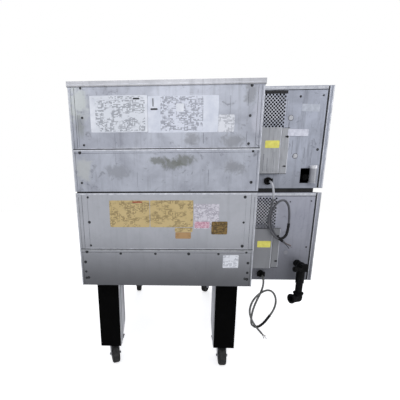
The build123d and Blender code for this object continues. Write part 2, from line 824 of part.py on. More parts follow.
def blower_wheel(z):
    """Back plate, ring and blades of a centrifugal wheel, with its shaft."""
    x, level, radius = blower_x, z + blower_level, blower_diameter / 2
    plate = rod_y(radius, x, blower_y1 - blower_plate, blower_y1, level)
    ring = rod_y(radius, x, blower_y0, blower_y0 + blower_plate, level) \
        - rod_y(radius - ring_width_blower, x, blower_y0 - cut, blower_y0 + blower_plate + cut, level)
    hub = rod_y(hub_radius, x, blower_y1 - hub_depth, blower_y1 + hub_proud, level)
    shaft = rod_y(blower_shaft_radius, x, blower_y1 - hub_depth, y_back + blower_shaft_reach, level)
    wheel = plate + ring + hub + shaft
    blade = Pos(radius - blade_inset, 0, 0) * Rot(0, blade_angle, 0) \
        * Box(blade_chord, blower_width - blower_plate, sheet)
    for index in range(blade_count):
        turn = Rot(0, 360 * index / blade_count, 0)
        wheel += Pos(x, (blower_y0 + blower_y1) / 2, level) * turn * blade
    return wheel


def blower_motor(z):
    """Motor with its flange on the body's back sheet and a bore for the wheel's shaft."""
    x, level, end = blower_x, z + blower_level, y_back + motor_length
    face = y_back + motor_flange_depth
    flange = block_about(x, level, motor_flange_half, motor_flange_half, y_back, face)
    can = rod_y(motor_diameter / 2, x, face, end, level)
    end_bell = rod_y(motor_diameter / 2 - end_bell_step, x, end, end + end_bell_step, level)
    bore = rod_y(blower_shaft_radius + fit_gap, x, y_back - cut, y_back + blower_shaft_reach + cut,
                 level)
    return flange + can + end_bell - bore


# Cooling fans: one axial fan behind each cabinet's vent
fan_x = at_left(vent_left + half_pitch * vent_columns / 2)
fan_drop = vent_drop + half_pitch * vent_rows / 2
fan_hub = 26.0
fan_setback = 26.0
fan_y = y_back - fan_setback
fan_half_depth = 10.0
fan_pin_radius = 4.0
fan_pin_reach = 30.0
fan_blade_depth = 26.0
fan_blade_angle = 32.0
fan_frame = 8.0
fan_tip_gap = 3.0
fan_can_radius = 24.0
fan_can_back = 44.0
fan_can_front = 12.0
fan_arm = 5.0
fan_frame_back = 16.0


def cooling_fan(top):
    """Bladed fan wheel with a short pin that runs in its motor."""
    level, tip = top - fan_drop, fan_diameter / 2
    fan = rod_y(fan_hub, fan_x, fan_y - fan_half_depth, fan_y + fan_half_depth, level)
    fan += rod_y(fan_pin_radius, fan_x, fan_y - fan_pin_reach, fan_y, level)
    blade = Pos((fan_hub + tip) / 2 - sheet, 0, 0) * Rot(fan_blade_angle, 0, 0) \
        * Box(tip - fan_hub + sheet, sheet, fan_blade_depth)
    for index in range(fan_blade_count):
        fan += Pos(fan_x, fan_y, level) * Rot(0, 360 * index / fan_blade_count, 0) * blade
    return fan


def fan_motor(top):
    """Fan motor with a square frame that is screwed behind the rear panel."""
    level, tip = top - fan_drop, fan_diameter / 2
    half, frame_back = tip + fan_frame, fan_y - fan_frame_back
    frame = block_about(fan_x, level, half, half, frame_back, y_back - sheet)
    ring = frame - rod_y(tip + fan_tip_gap, fan_x, frame_back - cut, y_back, level)
    can = rod_y(fan_can_radius, fan_x, fan_y - fan_can_back, fan_y - fan_can_front, level)
    arms = block_about(fan_x, level, half, fan_arm, frame_back - fan_arm, frame_back)
    bore = rod_y(fan_pin_radius + fit_gap, fan_x, fan_y - fan_pin_reach - cut,
                 fan_y - fan_half_depth - cut, level)
    return ring + (can + arms - bore)


# Burner and gas valve train inside the cabinet
air_box_near = 40.0
air_box_far = 120.0
air_box_half = 50.0
air_box_half_height = 42.0
burner_reach = 210.0
burner_wall = 3.0
valve_near = 190.0
valve_far = 260.0
valve_half = 45.0
valve_half_height = 32.0
link_radius = 11.0


def burner(z):
    """Burner tube that fires into the plenum, with its air box."""
    level = z + burner_level
    y0, y1 = burner_y - air_box_half, burner_y + air_box_half
    low, high = level - air_box_half_height, level + air_box_half_height
    box = block(at_left(air_box_far), at_left(air_box_near), y0, y1, low, high)
    hollow = block(at_left(air_box_far) + sheet, at_left(air_box_near) - sheet, y0 + sheet,
                   y1 - sheet, low + sheet, high - sheet)
    tube = rod_x(burner_diameter / 2, at_left(air_box_near), x_wall + burner_reach, burner_y, level)
    bore = rod_x(burner_diameter / 2 - burner_wall, at_left(air_box_near) - sheet - cut,
                 x_wall + burner_reach + cut, burner_y, level)
    return tube + box - hollow - bore


def gas_train(z):
    """Combination valve with a pipe to the burner's air box."""
    level = z + burner_level
    valve = block(at_left(valve_far), at_left(valve_near), burner_y - valve_half,
                  burner_y + valve_half, level - valve_half_height, level + valve_half_height)
    link = rod_x(link_radius, at_left(valve_near), at_left(air_box_far), burner_y, level)
    return valve + link


# Front of the oven: sheet fronts with a window door per deck
hinge_radius = 5.0
hinge_gap = 3.0
hinge_pin_radius = 3.0
hinge_inset = 70.0
knuckle_half = 24.0
leaf_thickness = 4.0
door_gap = 3.0
door_rim = 14.0
pane_slot = 6.0
pane_edge = 10.0
pane_play = 2.0
pane_slack = 0.5
handle_inset = 90.0
handle_drop = 28.0
post_inset = 20.0
post_radius = 7.0
door_x0 = blower_x - door_width / 2
door_x1 = blower_x + door_width / 2
hinge_y = y_front - hinge_radius - hinge_gap
hinge_drop = window_level - door_height / 2 - hinge_radius - hinge_gap


def front_panel(z):
    """Front sheet with its window opening, the throat behind it and the hinge knuckles."""
    plate = block(x_wall, x_side, y_front, y_front + sheet, z, z + deck_body)
    plate -= window_port(z, y_front - cut, y_front + sheet + cut)
    half, rise, level = window_width / 2, window_height / 2, z + window_level
    y0, y1 = y_front + sheet, chamber_y0
    throat = [block(blower_x - half - sheet, blower_x + half + sheet, y0, y1, low, low + sheet)
              for low in (level - rise - sheet, level + rise)]
    throat += [block(x, x + sheet, y0, y1, level - rise, level + rise)
               for x in (blower_x - half - sheet, blower_x + half)]
    hinges = []
    for x in (door_x0 + hinge_inset, door_x1 - hinge_inset):
        axis_z = z + hinge_drop
        x0, x1 = x - knuckle_half, x + knuckle_half
        leaf = block(x0, x1, hinge_y, y_front, axis_z - leaf_thickness, axis_z)
        hinges.append(rod_x(hinge_radius, x0, x1, hinge_y, axis_z) + leaf
                      - rod_x(hinge_pin_radius + fit_gap, x0 - cut, x1 + cut, hinge_y, axis_z))
    return [plate, *throat, *hinges]


def door_hinge_pins(axis_z, low):
    """Two pins below the door, each with an arm up to its lower edge."""
    pins = []
    for x in (door_x0 + hinge_inset, door_x1 - hinge_inset):
        arm0 = x + knuckle_half + sheet
        arm1 = arm0 + 4 * leaf_thickness
        pins.append(rod_x(hinge_pin_radius, x - knuckle_half - sheet, arm1 + sheet, hinge_y, axis_z))
        pins.append(block(arm0, arm1, hinge_y - hinge_pin_radius, hinge_y + hinge_pin_radius,
                          axis_z, low + cut))
    return pins


def window_door(z):
    """Folded door pan with its handle and hinge pins, and a rim that holds the pane."""
    low, high = z + window_level - door_height / 2, z + window_level + door_height / 2
    y1 = y_front - door_gap
    y0 = y1 - door_thickness
    frame = block(door_x0, door_x1, y0, y1, low, high)
    pan = block(door_x0 + sheet, door_x1 - sheet, y0 + sheet, y1 + cut, low + sheet, high - sheet)
    frame -= pan - window_port(z, y0, y1 + 2 * cut, door_rim)
    frame -= window_port(z, y0 - cut, y1 + cut)
    frame -= window_port(z, y0 + pane_slot, y0 + 2 * pane_slot, pane_edge)
    bar_y, bar_z = y_front - handle_reach + handle_diameter / 2, high - handle_drop
    bar = rod_x(handle_diameter / 2, door_x0 + handle_inset, door_x1 - handle_inset, bar_y, bar_z)
    for x in (door_x0 + handle_inset + post_inset, door_x1 - handle_inset - post_inset):
        bar += rod_y(post_radius, x, bar_y, y0 + cut, bar_z)
    for pin in door_hinge_pins(z + hinge_drop, low):
        frame += pin
    return frame + bar


def window_glass(z):
    """Pane held in the slot of the door frame."""
    slot = y_front - door_gap - door_thickness + pane_slot
    return window_port(z, slot + pane_slack, slot + pane_slot - pane_slack, pane_edge - pane_play)


# Control panel on the cabinet's front, with a rocker switch
switch_x = x_cabinet + cabinet_width / 2
switch_level = 455.0
display_level = 400.0
bezel_half = 120.0
bezel_depth = 14.0
bezel_above = 35.0
bezel_below = 50.0
display_half = 60.0
display_half_height = 22.0
display_depth = 2.0
pocket_half = 14.0
pocket_half_height = 20.0
switch_pivot_y = y_front - 12.0
pivot_radius = 2.5
rocker_half = 13.5
pivot_half = 17.0
button_count = 4
button_pitch = 56.0
button_drop = 38.0
button_radius = 8.0
button_height = 3.0


def control_panel(name, z):
    """Cabinet front, and a raised bezel with a display window and a pocket for the switch."""
    low, high = cabinet_box(name, z)
    plate = block(x_cabinet, x_wall, y_front, y_front + sheet, low, high)
    face = y_front - bezel_depth
    bezel = block(switch_x - bezel_half, switch_x + bezel_half, face, y_front,
                  z + display_level - bezel_below, z + switch_level + bezel_above)
    bezel -= block_about(switch_x, z + display_level, display_half, display_half_height,
                         face - cut, face + display_depth)
    bezel -= block_about(switch_x, z + switch_level, pocket_half, pocket_half_height,
                         face - cut, y_front + cut)
    bezel -= rod_x(pivot_radius + fit_gap, switch_x - pivot_half - cut, switch_x + pivot_half + cut,
                   switch_pivot_y, z + switch_level)
    for column in range(button_count):
        button_x = switch_x + button_pitch * (column - (button_count - 1) / 2)
        bezel += rod_y(button_radius, button_x, face - button_height, face + cut,
                       z + display_level - button_drop)
    return [plate, bezel]


def power_switch(z):
    """Rocker with a pivot pin that runs in both sides of the pocket."""
    outline = ((-3, -18), (-1.5, 0), (-6, 18), (3, 18), (10, 8), (10, -8), (3, -18))
    rocker = slab_x(outline, -rocker_half, rocker_half)
    pivot = rod_x(pivot_radius, -pivot_half, pivot_half, 0, 0)
    return Pos(switch_x, switch_pivot_y, z + switch_level) * (rocker + pivot)


# Legs: folded sheet, closed at the outer face, with tapered side flanges
leg_shelf = 5.0
shelf_overrun = 14.0


def leg(x0, y_face, into):
    """One leg. Its outer face is at y_face and its flanges run inwards from there."""
    z0, z1 = caster_height, caster_height + leg_height
    far = y_face + into * leg_depth
    outline = ((y_face, z0), (y_face, z1), (far, z1), (far, z0 + leg_taper_height),
               (y_face + into * leg_foot_depth, z0))
    blank = slab_x(outline, x0, x0 + leg_width)
    inner0, inner1 = x0 + leg_sheet, x0 + leg_width - leg_sheet
    inner_face = y_face + into * leg_sheet
    hollow = block(inner0, inner1, *sorted((inner_face, far + into * cut)), z0 + leg_shelf,
                   z1 - leg_sheet)
    shelf_far = y_face + into * (leg_width + shelf_overrun)
    shelf = block(inner0, inner1, *sorted((inner_face, shelf_far)), z0, z0 + leg_shelf)
    return blank - hollow + shelf


leg_places = {
    "rear_left": (x_side - leg_inset - leg_width, y_back, -1),
    "rear_right": (x_wall + leg_inset, y_back, -1),
    "front_left": (x_side - leg_inset - leg_width, y_front, 1),
    "front_right": (x_wall + leg_inset, y_front, 1),
}
caster_turns = {"rear_left": 22.0, "rear_right": 0.0, "front_left": 180.0, "front_right": 150.0}
braked = ("rear_left", "rear_right")

# Casters: plate and kingpin, swivelling fork, wheel and brake pedal
plate_thickness = 4.0
plate_half = 50.0
cup_radius = 30.0
cup_height = 5.0
kingpin_radius = 7.0
kingpin_length = 19.0
kingpin_nut = 3.0
kingpin_nut_radius = 11.0
wheel_radius = wheel_diameter / 2
crown_radius = 33.0
crown_gap = 0.4
crown_front = 26.0
ear_reach = 10.0
cheek_half = 14.0
cheek_back = 24.0
cheek_drop = 8.0
fork_gap = 1.5
fork_sheet = 4.0
axle_radius = 5.0
axle_overrun = 12.0
axle_nut_radius = 10.0
axle_nut_height = 6.0
nut_side_count = 6
brake_y = -34.0
brake_level = 116.0
brake_pin_radius = 3.0


def stem_place(name):
    """Where a caster's swivel axis stands."""
    x0, y_face, into = leg_places[name]
    return x0 + leg_width / 2, y_face + into * leg_depth / 2


def caster_plate(name):
    """Square plate under the leg with its kingpin and a raceway cup."""
    x, y = stem_place(name)
    under = caster_height - plate_thickness
    plate = block(x - plate_half, x + plate_half, y - plate_half, y + plate_half, under, caster_height)
    cup = rod_z(cup_radius, x, y, under - cup_height, under)
    foot = caster_height - kingpin_length
    pin = rod_z(kingpin_radius, x, y, foot - kingpin_nut, under)
    nut = rod_z(kingpin_nut_radius, x, y, foot - 2 * kingpin_nut, foot)
    return plate + cup + pin + nut


def fork_cheek(x0, top):
    """One side plate of a fork, with its hole for the brake's pin."""
    ear_y, ear_low, eye = brake_y - ear_reach, brake_level - cheek_drop, wheel_radius - cheek_half
    outline = ((ear_y, top), (crown_front, top), (caster_trail + cheek_half, eye),
               (caster_trail - cheek_half, eye), (-cheek_back, ear_low), (ear_y, ear_low))
    return slab_x(outline, x0, x0 + fork_sheet) \
        - rod_x(brake_pin_radius + fit_gap, x0 - cut, x0 + fork_sheet + cut, brake_y, brake_level)


def caster_fork():
    """Fork at the origin of its swivel axis, with its axle trailing along +Y."""
    top = caster_height - plate_thickness - cup_height - crown_gap
    under, half = top - fork_sheet, wheel_width / 2 + fork_gap
    crown = rod_z(crown_radius, 0, 0, under, top)
    crown += block(-half - fork_sheet, half + fork_sheet, brake_y - ear_reach, crown_front, under, top)
    crown -= rod_z(kingpin_radius + fit_gap, 0, 0, under - cut, top + cut)
    fork = crown + fork_cheek(-half - fork_sheet, top) + fork_cheek(half, top)
    fork += rod_x(axle_radius, -half - axle_overrun, half + axle_overrun, caster_trail, wheel_radius)
    nut = Rot(0, 90, 0) * extrude(RegularPolygon(axle_nut_radius, nut_side_count), axle_nut_height)
    for x in (half + fork_sheet, -half - fork_sheet - axle_nut_height):
        fork += Pos(x, caster_trail, wheel_radius) * nut
    return fork


rim_inset = 14.0
rim_step = 5.0
tread_shoulder = 9.0
tread_side = 2.0
boss_radius = 20.0


def caster_wheel():
    """Wheel with a dished side, a chamfered tread and a plain bore."""
    half, bore = wheel_width / 2, axle_radius + fit_gap
    side = ((bore, half), (boss_radius, half), (boss_radius + tread_side, half - rim_step),
            (wheel_radius - rim_inset, half - rim_step),
            (wheel_radius - rim_inset + tread_side, half - tread_side),
            (wheel_radius - rim_step, half - tread_side), (wheel_radius, half - tread_shoulder))
    profile = make_face(Polyline(*side, *[(r, -w) for r, w in reversed(side)], close=True))
    return Pos(0, caster_trail, wheel_radius) * Rot(0, 0, 90) * revolve(Plane.XY * profile, Axis.Y)


shoe_reach = 19.0
brake_travel = 25.0
pedal_margin = 3.0
pedal_half = 3.0
pedal_reach = 40.0
pad_near = 34.0
pad_far = 52.0
pad_thickness = 10.0


def brake_pedal():
    """Foot pedal on a pin in the fork's ears, with a shoe that meets the tread when pressed."""
    half = wheel_width / 2 + fork_gap + fork_sheet
    width = wheel_width / 2 - pedal_margin
    pin = rod_x(brake_pin_radius, -half - pedal_margin, half + pedal_margin, brake_y, brake_level)
    hub = rod_x(brake_pin_radius + pedal_margin + cut, -width, width, brake_y, brake_level)
    arm = block(-width, width, brake_y - pedal_reach, brake_y, brake_level - pedal_half,
                brake_level + pedal_half)
    pad_low = brake_level - 2 * pedal_half
    pad = block(-width - pedal_margin, width + pedal_margin, brake_y - pad_far, brake_y - pad_near,
                pad_low, pad_low + pad_thickness)
    facing = math.degrees(math.atan2(wheel_radius - brake_level, caster_trail - brake_y))
    shoe = Pos(0, brake_y, brake_level) * Rot(facing - brake_travel, 0, 0) \
        * block(-width, width, 0, shoe_reach, -pedal_half, pedal_half)
    return pin + hub + arm + pad + shoe


def placed(name, shape):
    """Set a caster piece under its leg at its rest turn."""
    x, y = stem_place(name)
    return Pos(x, y, 0) * Rot(0, 0, caster_turns[name]) * shape


# Spacers between the decks
spacer_width = 30.0
spacer_inset = 6.0
cabinet_bar_side = 45.0
cabinet_bar_wall = 4.0
cabinet_bar_front = 40.0
cabinet_bar_back = 8.0


def stacking_spacers():
    """Recessed frame between the decks and a thicker one between the cabinets."""
    deck_frame = frame_bars(x_wall + spacer_inset, x_side - spacer_inset, y_front + spacer_inset,
                            y_shroud - spacer_inset - cut, z_upper - deck_seam, z_upper, spacer_width)
    low = cabinet_box("lower", z_lower)[1]
    high = cabinet_box("upper", z_upper)[0]
    cabinet_bars = frame_bars(x_cabinet + cabinet_bar_side, x_wall - cabinet_bar_wall,
                              y_front + cabinet_bar_front, y_back - cabinet_bar_back, low, high,
                              spacer_width)
    return deck_frame + cabinet_bars


cabinet_tops = {name: cabinet_box(name, z)[1] for name, z in decks.items()}

# Fasteners: places on the rear are given from each edge and from the deck's or cabinet's top
screw_head = 4.5
small_head = 3.6
rivet_head = 3.2
head_height = 2.0
crown_height = 1.0
crown_share = 0.7
upper_panel_screws = (30.0, 162.0, 290.0)
upper_panel_edge = 63.0
lower_panel_screws = (326.0, 476.0)
lower_panel_edge = 38.0
seam_row = (0.238, 0.44, 0.632, 0.802)
seam_row_drop = 5.0
rivet_drops = (385.0, 441.0, 478.0)
rivet_edge = 26.0
cover_screw_top = 42.0
cover_screw_bottom = 38.0
outer_screw_inset = 50.0
outer_screw_drops = (46.0, 308.0)
middle_screw_left = 215.0
middle_screw_drop = 50.0
plate_bolt_half = 40.0
bolt_radius = 7.0
bolt_height = 5.0


def pan_head(x, y, level, radius=screw_head):
    """Pan head that stands on a rear face."""
    crown_y = y + head_height
    return rod_y(radius, x, y, crown_y, level) \
        + rod_y(radius * crown_share, x, crown_y, crown_y + crown_height, level)


def rear_screws():
    """Screws and rivets of both decks' rear panels."""
    heads = []
    for z in decks.values():
        for inset, drops in ((upper_panel_edge, upper_panel_screws),
                             (lower_panel_edge, lower_panel_screws)):
            heads += [pan_head(x, y_shroud, z + deck_height - drop)
                      for x in (x_wall + inset, x_side - inset) for drop in drops]
    row_level = z_upper - panel_seam_drop - flange_strip - seam_row_drop
    heads += [pan_head(x_side - body_width * share, y_shroud, row_level) for share in seam_row]
    heads += [pan_head(x, y_shroud, z_upper - drop, rivet_head)
              for x in (x_wall + rivet_edge, x_side - rivet_edge) for drop in rivet_drops]
    return heads


def cabinet_screws():
    """Screws of the terminal covers and of the cabinets' rear panels."""
    heads = []
    cover_x = at_left(terminal_width - terminal_flange / 2)
    outer_x = at_left(cabinet_width - outer_screw_inset)
    for top in cabinet_tops.values():
        heads += [pan_head(cover_x, y_back + sheet, top - drop, small_head)
                  for drop in (terminal_top + cover_screw_top, terminal_bottom - cover_screw_bottom)]
        heads += [pan_head(outer_x, y_back, top - drop, small_head) for drop in outer_screw_drops]
        heads.append(pan_head(at_left(middle_screw_left), y_back, top - middle_screw_drop, small_head))
    return heads


def caster_bolts():
    """Four hexagon heads under each caster plate."""
    head = extrude(RegularPolygon(bolt_radius, nut_side_count), bolt_height)
    level = caster_height - plate_thickness - bolt_height
    return [Pos(x + dx, y + dy, level) * head for x, y in map(stem_place, leg_places)
            for dx in (-plate_bolt_half, plate_bolt_half) for dy in (-plate_bolt_half, plate_bolt_half)]


routes = {"lower": lower_route, "upper": upper_route}

for deck_name, deck_z in decks.items():
    save(f"{deck_name}_body_shell", *body_shell(deck_z))
    save(f"{deck_name}_rear_panels", *rear_panels(deck_z))
    save(f"{deck_name}_cabinet_shell", *cabinet_shell(deck_name, deck_z))
    save(f"{deck_name}_cabinet_back", cabinet_back(deck_name, deck_z))
    save(f"{deck_name}_drive_shaft",
         conveyor_shaft(drive_x, deck_z, rail_outer_front - shaft_overrun, shaft_end))
    save(f"{deck_name}_idler_shaft",
         conveyor_shaft(idler_x, deck_z, rail_outer_front - shaft_overrun,
                        rail_outer_back + shaft_overrun))
    save(f"{deck_name}_crumb_tray", crumb_tray(deck_z))
    save(f"{deck_name}_blower_wheel", blower_wheel(deck_z))
    save(f"{deck_name}_cooling_fan", cooling_fan(cabinet_tops[deck_name]))
    save(f"{deck_name}_window_door", window_door(deck_z))
    save(f"{deck_name}_window_glass", window_glass(deck_z))
    save(f"{deck_name}_power_switch", power_switch(deck_z))
    cord_points = route_points(routes[deck_name], cabinet_tops[deck_name])
    save(f"{deck_name}_power_cord", cord(f"{deck_name}_power_cord", cord_points))
    save(f"{deck_name}_cord_end", tape_wrap(deck_name, cord_points),
         *bare_leads(cord_points))
save("cooking_chambers", *[s for z in decks.values() for s in cooking_chamber(z)])
save("jet_fingers", *[s for z in decks.values() for s in jet_fingers(z)])
save("shroud_frame", *[s for z in decks.values() for s in shroud_frame(z)])
save("top_cap", top_cap())
save("terminal_box_covers", *[terminal_cover(top) for top in cabinet_tops.values()])
save("plug_buttons", *[s for name, top in cabinet_tops.items() for s in knockout_plugs(name, top)])
save("gas_inlet_pipe", gas_pipe(z_lower))
save("gas_cock", gas_cock(z_lower))
save("upper_gas_inlet", *upper_inlet(cabinet_tops["upper"]))
save("cord_glands", *[cord_gland(top) for top in cabinet_tops.values()])
save("conveyor_frames", *[s for z in decks.values() for s in conveyor_frame(z)])
save("wire_belts", *[wire_belt(z) for z in decks.values()])
save("front_panels", *[s for z in decks.values() for s in front_panel(z)],
     *[s for name, z in decks.items() for s in control_panel(name, z)])
save("blower_motors", *[blower_motor(z) for z in decks.values()])
save("drive_motors", *[drive_motor(z) for z in decks.values()])
save("cooling_fan_motors", *[fan_motor(top) for top in cabinet_tops.values()])
save("burners", *[burner(z) for z in decks.values()])
save("gas_trains", *[gas_train(z) for z in decks.values()])
save("stacking_spacers", *stacking_spacers())
save("legs", *[leg(*place) for place in leg_places.values()])
save("caster_plates", *[caster_plate(name) for name in leg_places])
for place_name in leg_places:
    save(f"caster_fork_{place_name}", placed(place_name, caster_fork()))
    save(f"caster_wheel_{place_name}", placed(place_name, caster_wheel()))
for place_name in braked:
    save(f"brake_pedal_{place_name}", placed(place_name, brake_pedal()))
save("screws_and_bolts", *rear_screws(), *cabinet_screws(), *caster_bolts())
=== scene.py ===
import bpy, bmesh, math, random
from mathutils import Matrix, Vector


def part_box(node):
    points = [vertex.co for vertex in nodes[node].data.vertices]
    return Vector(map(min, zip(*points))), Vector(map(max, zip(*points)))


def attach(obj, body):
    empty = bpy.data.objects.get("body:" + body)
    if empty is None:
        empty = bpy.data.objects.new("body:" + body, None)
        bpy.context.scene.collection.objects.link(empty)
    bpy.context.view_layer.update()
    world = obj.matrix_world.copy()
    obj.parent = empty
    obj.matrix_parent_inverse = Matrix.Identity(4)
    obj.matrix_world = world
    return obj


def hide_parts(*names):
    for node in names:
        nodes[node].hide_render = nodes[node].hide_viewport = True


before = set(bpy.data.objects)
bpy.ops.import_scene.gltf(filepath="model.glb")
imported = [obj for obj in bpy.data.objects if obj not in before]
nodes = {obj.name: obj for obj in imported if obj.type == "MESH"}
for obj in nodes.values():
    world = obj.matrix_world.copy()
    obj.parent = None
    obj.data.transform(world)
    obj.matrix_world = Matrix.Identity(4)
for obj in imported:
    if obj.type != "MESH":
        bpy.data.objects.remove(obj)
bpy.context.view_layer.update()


# The camera stands behind the oven at chest height, a little left of its middle, and looks
# slightly down. Its frame is cropped low and right of the lens axis, which the shift gives.
def placed(name, data):
    """A new object in the scene, around its mesh, curve, lamp or lens."""
    made = bpy.data.objects.new(name, data)
    bpy.context.collection.objects.link(made)
    return made


lens = bpy.data.cameras.new("rear_view")
camera = placed("rear_view", lens)
bpy.context.scene.camera = camera
eye = (0.1251, 2.2667, 1.1774)
sight = Vector((0.0407, -0.97097, -0.23572)).normalized()
upward = Vector((0.00569, -0.23569, 0.97181)).normalized()
turn = Matrix((sight.cross(upward), upward, -sight)).transposed()
camera.matrix_world = Matrix.Translation(eye) @ turn.to_4x4()
lens.sensor_width = 36
lens.lens = 25.057
lens.shift_x = 0.0852
lens.shift_y = 0.1263
lens.clip_end = 60


# Plain studio: a soft pale room with a large lamp behind the oven, one beside and one before it.
# The room is pure white where the camera sees it, itself or through glass, and dimmer as light.
def tone(code):
    """Linear colour of an sRGB hex value."""
    parts = [int(code[i:i + 2], 16) / 255 for i in (0, 2, 4)]
    linear = [p / 12.92 if p <= 0.04045 else ((p + 0.055) / 1.055) ** 2.4 for p in parts]
    return (*linear, 1.0)


def put(tree, kind, links=None, **settings):
    """Add a node with its settings, and link or set its inputs."""
    made = tree.nodes.new(kind)
    for key, value in settings.items():
        setattr(made, key, value)
    for key, value in (links or {}).items():
        if isinstance(value, bpy.types.NodeSocket):
            tree.links.new(value, made.inputs[key])
        else:
            made.inputs[key].default_value = value
    return made


world = bpy.data.worlds.new("white_room")
bpy.context.scene.world = world
world.use_nodes = True
air = world.node_tree
air.nodes.clear()
path = put(air, "ShaderNodeLightPath")
seen = put(air, "ShaderNodeMath", {0: path.outputs["Is Camera Ray"],
                                   1: path.outputs["Is Transmission Ray"]}, operation="MAXIMUM")
room = put(air, "ShaderNodeBackground", {"Color": tone("eef0f4"), "Strength": 0.62})
paper_white = put(air, "ShaderNodeBackground", {"Color": (1, 1, 1, 1), "Strength": 1.0})
both = put(air, "ShaderNodeMixShader", {0: seen.outputs[0], 1: room.outputs[0],
                                        2: paper_white.outputs[0]})
put(air, "ShaderNodeOutputWorld", {"Surface": both.outputs[0]})
bpy.context.scene.view_settings.view_transform = "Standard"

for name, place, aim, size, power in (("key_lamp", (0.5, 4.4, 3.6), (0, 0.5, 1.0), 2.8, 66),
                                      ("fill_lamp", (-3.6, 2.4, 2.2), (0, 0, 0.9), 2.2, 32),
                                      ("front_lamp", (0.6, -4.6, 3.2), (0, 0, 0.9), 2.6, 70)):
    lamp = bpy.data.lights.new(name, "AREA")
    lamp.energy, lamp.size, lamp.color = power, size, tone("fdfcff")[:3]
    away = (Vector(aim) - Vector(place)).to_track_quat("-Z", "Y")
    placed(name, lamp).matrix_world = Matrix.Translation(place) @ away.to_matrix().to_4x4()

reach = 9
floor_mesh = bpy.data.meshes.new("studio_floor")
floor_mesh.from_pydata([(-reach, -reach, 0), (reach, -reach, 0), (reach, reach, 0),
                        (-reach, reach, 0)], [], [(0, 1, 2, 3)])
studio_floor = placed("studio_floor", floor_mesh)
floor_paint = bpy.data.materials.new("matt_white_floor")
floor_paint.use_nodes = True
tree = floor_paint.node_tree
tree.nodes.clear()
path = put(tree, "ShaderNodeLightPath")
chalk = put(tree, "ShaderNodeBsdfDiffuse", {"Color": tone("f4f4f5")})
glow = put(tree, "ShaderNodeEmission", {"Color": (1, 1, 1, 1), "Strength": 0.6})
lit = put(tree, "ShaderNodeAddShader", {0: chalk.outputs[0], 1: glow.outputs[0]})
seen = put(tree, "ShaderNodeMixShader", {0: path.outputs["Is Camera Ray"], 1: chalk.outputs[0],
                                         2: lit.outputs[0]})
put(tree, "ShaderNodeOutputMaterial", {"Surface": seen.outputs[0]})
floor_mesh.materials.append(floor_paint)


# Two grey mains cords, sheathed in PVC, hang in tied loops from the clamps in the rear panels.
# Each is cut off bare: three stripped leads stand out of its end, and black tape binds a stretch.
def start_material(name):
    """A new material with an empty node tree."""
    made = bpy.data.materials.new(name)
    made.use_nodes = True
    made.node_tree.nodes.clear()
    return made, made.node_tree


def finish_material(tree, **surface):
    """One principled surface that closes a material's tree."""
    bsdf = put(tree, "ShaderNodeBsdfPrincipled", {key.replace("_", " "): value
                                                  for key, value in surface.items()})
    put(tree, "ShaderNodeOutputMaterial", {"Surface": bsdf.outputs[0]})


def noise(tree, where, scale, detail, **shape):
    """A noise field, with its other inputs by their names."""
    links = {"Vector": where, "Scale": scale, "Detail": detail, **shape}
    return put(tree, "ShaderNodeTexNoise", links).outputs["Fac"]


def ranged(tree, value, low, high, start, end, **settings):
    """A value carried over from one range to another."""
    links = {"Value": value, "From Min": low, "From Max": high, "To Min": start, "To Max": end}
    return put(tree, "ShaderNodeMapRange", links, **settings).outputs[0]


def mixed(tree, share, under, over):
    """A colour mixed towards another by a share. Either may be an sRGB hex value."""
    under, over = (tone(part) if isinstance(part, str) else part for part in (under, over))
    return put(tree, "ShaderNodeMix", {0: share, 6: under, 7: over}, data_type="RGBA").outputs[2]


def ramped(tree, value, dark, pale, low, high):
    """A colour that runs from a dark tone to a pale one as a value rises."""
    ramp = put(tree, "ShaderNodeValToRGB", {"Fac": value})
    first, last = ramp.color_ramp.elements
    first.position, last.position = low, high
    first.color, last.color = tone(dark), tone(pale)
    return ramp.outputs[0]


def bumped(tree, height, strength, distance, **under):
    """A bump of so many metres, on top of another one if that is given as Normal."""
    links = {"Height": height, "Strength": strength, "Distance": distance, **under}
    return put(tree, "ShaderNodeBump", links).outputs[0]


def faded_below(tree, where, colour, falloff):
    """Mix a colour towards a lower tone, from none at one height to a share at a lower one."""
    low, high, low_tone, amount = falloff
    level = put(tree, "ShaderNodeSeparateXYZ", {0: where}).outputs["Z"]
    share = ranged(tree, level, low, high, amount, 0.0, interpolation_type="SMOOTHSTEP")
    return mixed(tree, share, colour, low_tone)


def mottled(name, pale, dark, patch_mm, rough=(0.4, 0.6), metallic=0.0, bump=0.15, falloff=None,
            shine=0.5):
    """A surface whose colour and gloss drift between two tones, with a fine grain."""
    made, tree = start_material(name)
    grain_mm, grain_depth = 1.5, 0.0004
    where = put(tree, "ShaderNodeTexCoord").outputs["Object"]
    patch = noise(tree, where, 1000 / patch_mm, 5.0, Roughness=0.6)
    grain = noise(tree, where, 1000 / grain_mm, 2.0)
    colour = ramped(tree, patch, dark, pale, 0.32, 0.68)
    if falloff:
        colour = faded_below(tree, where, colour, falloff)
    gloss = ranged(tree, patch, 0.3, 0.7, rough[1], rough[0])
    finish_material(tree, Base_Color=colour, Metallic=metallic, Specular_IOR_Level=shine,
                    Roughness=gloss, Normal=bumped(tree, grain, bump, grain_depth))
    return made


cord_width = 0.0115
line_steps = 400
tape_thick, lead_width, lead_length, lead_spread = 0.0012, 0.0034, 0.049, 0.009
wall_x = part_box("upper_cabinet_back")[1].x
back_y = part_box("upper_cabinet_back")[1].y
cabinet_top = {deck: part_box(f"{deck}_cabinet_back")[1].z for deck in ("upper", "lower")}
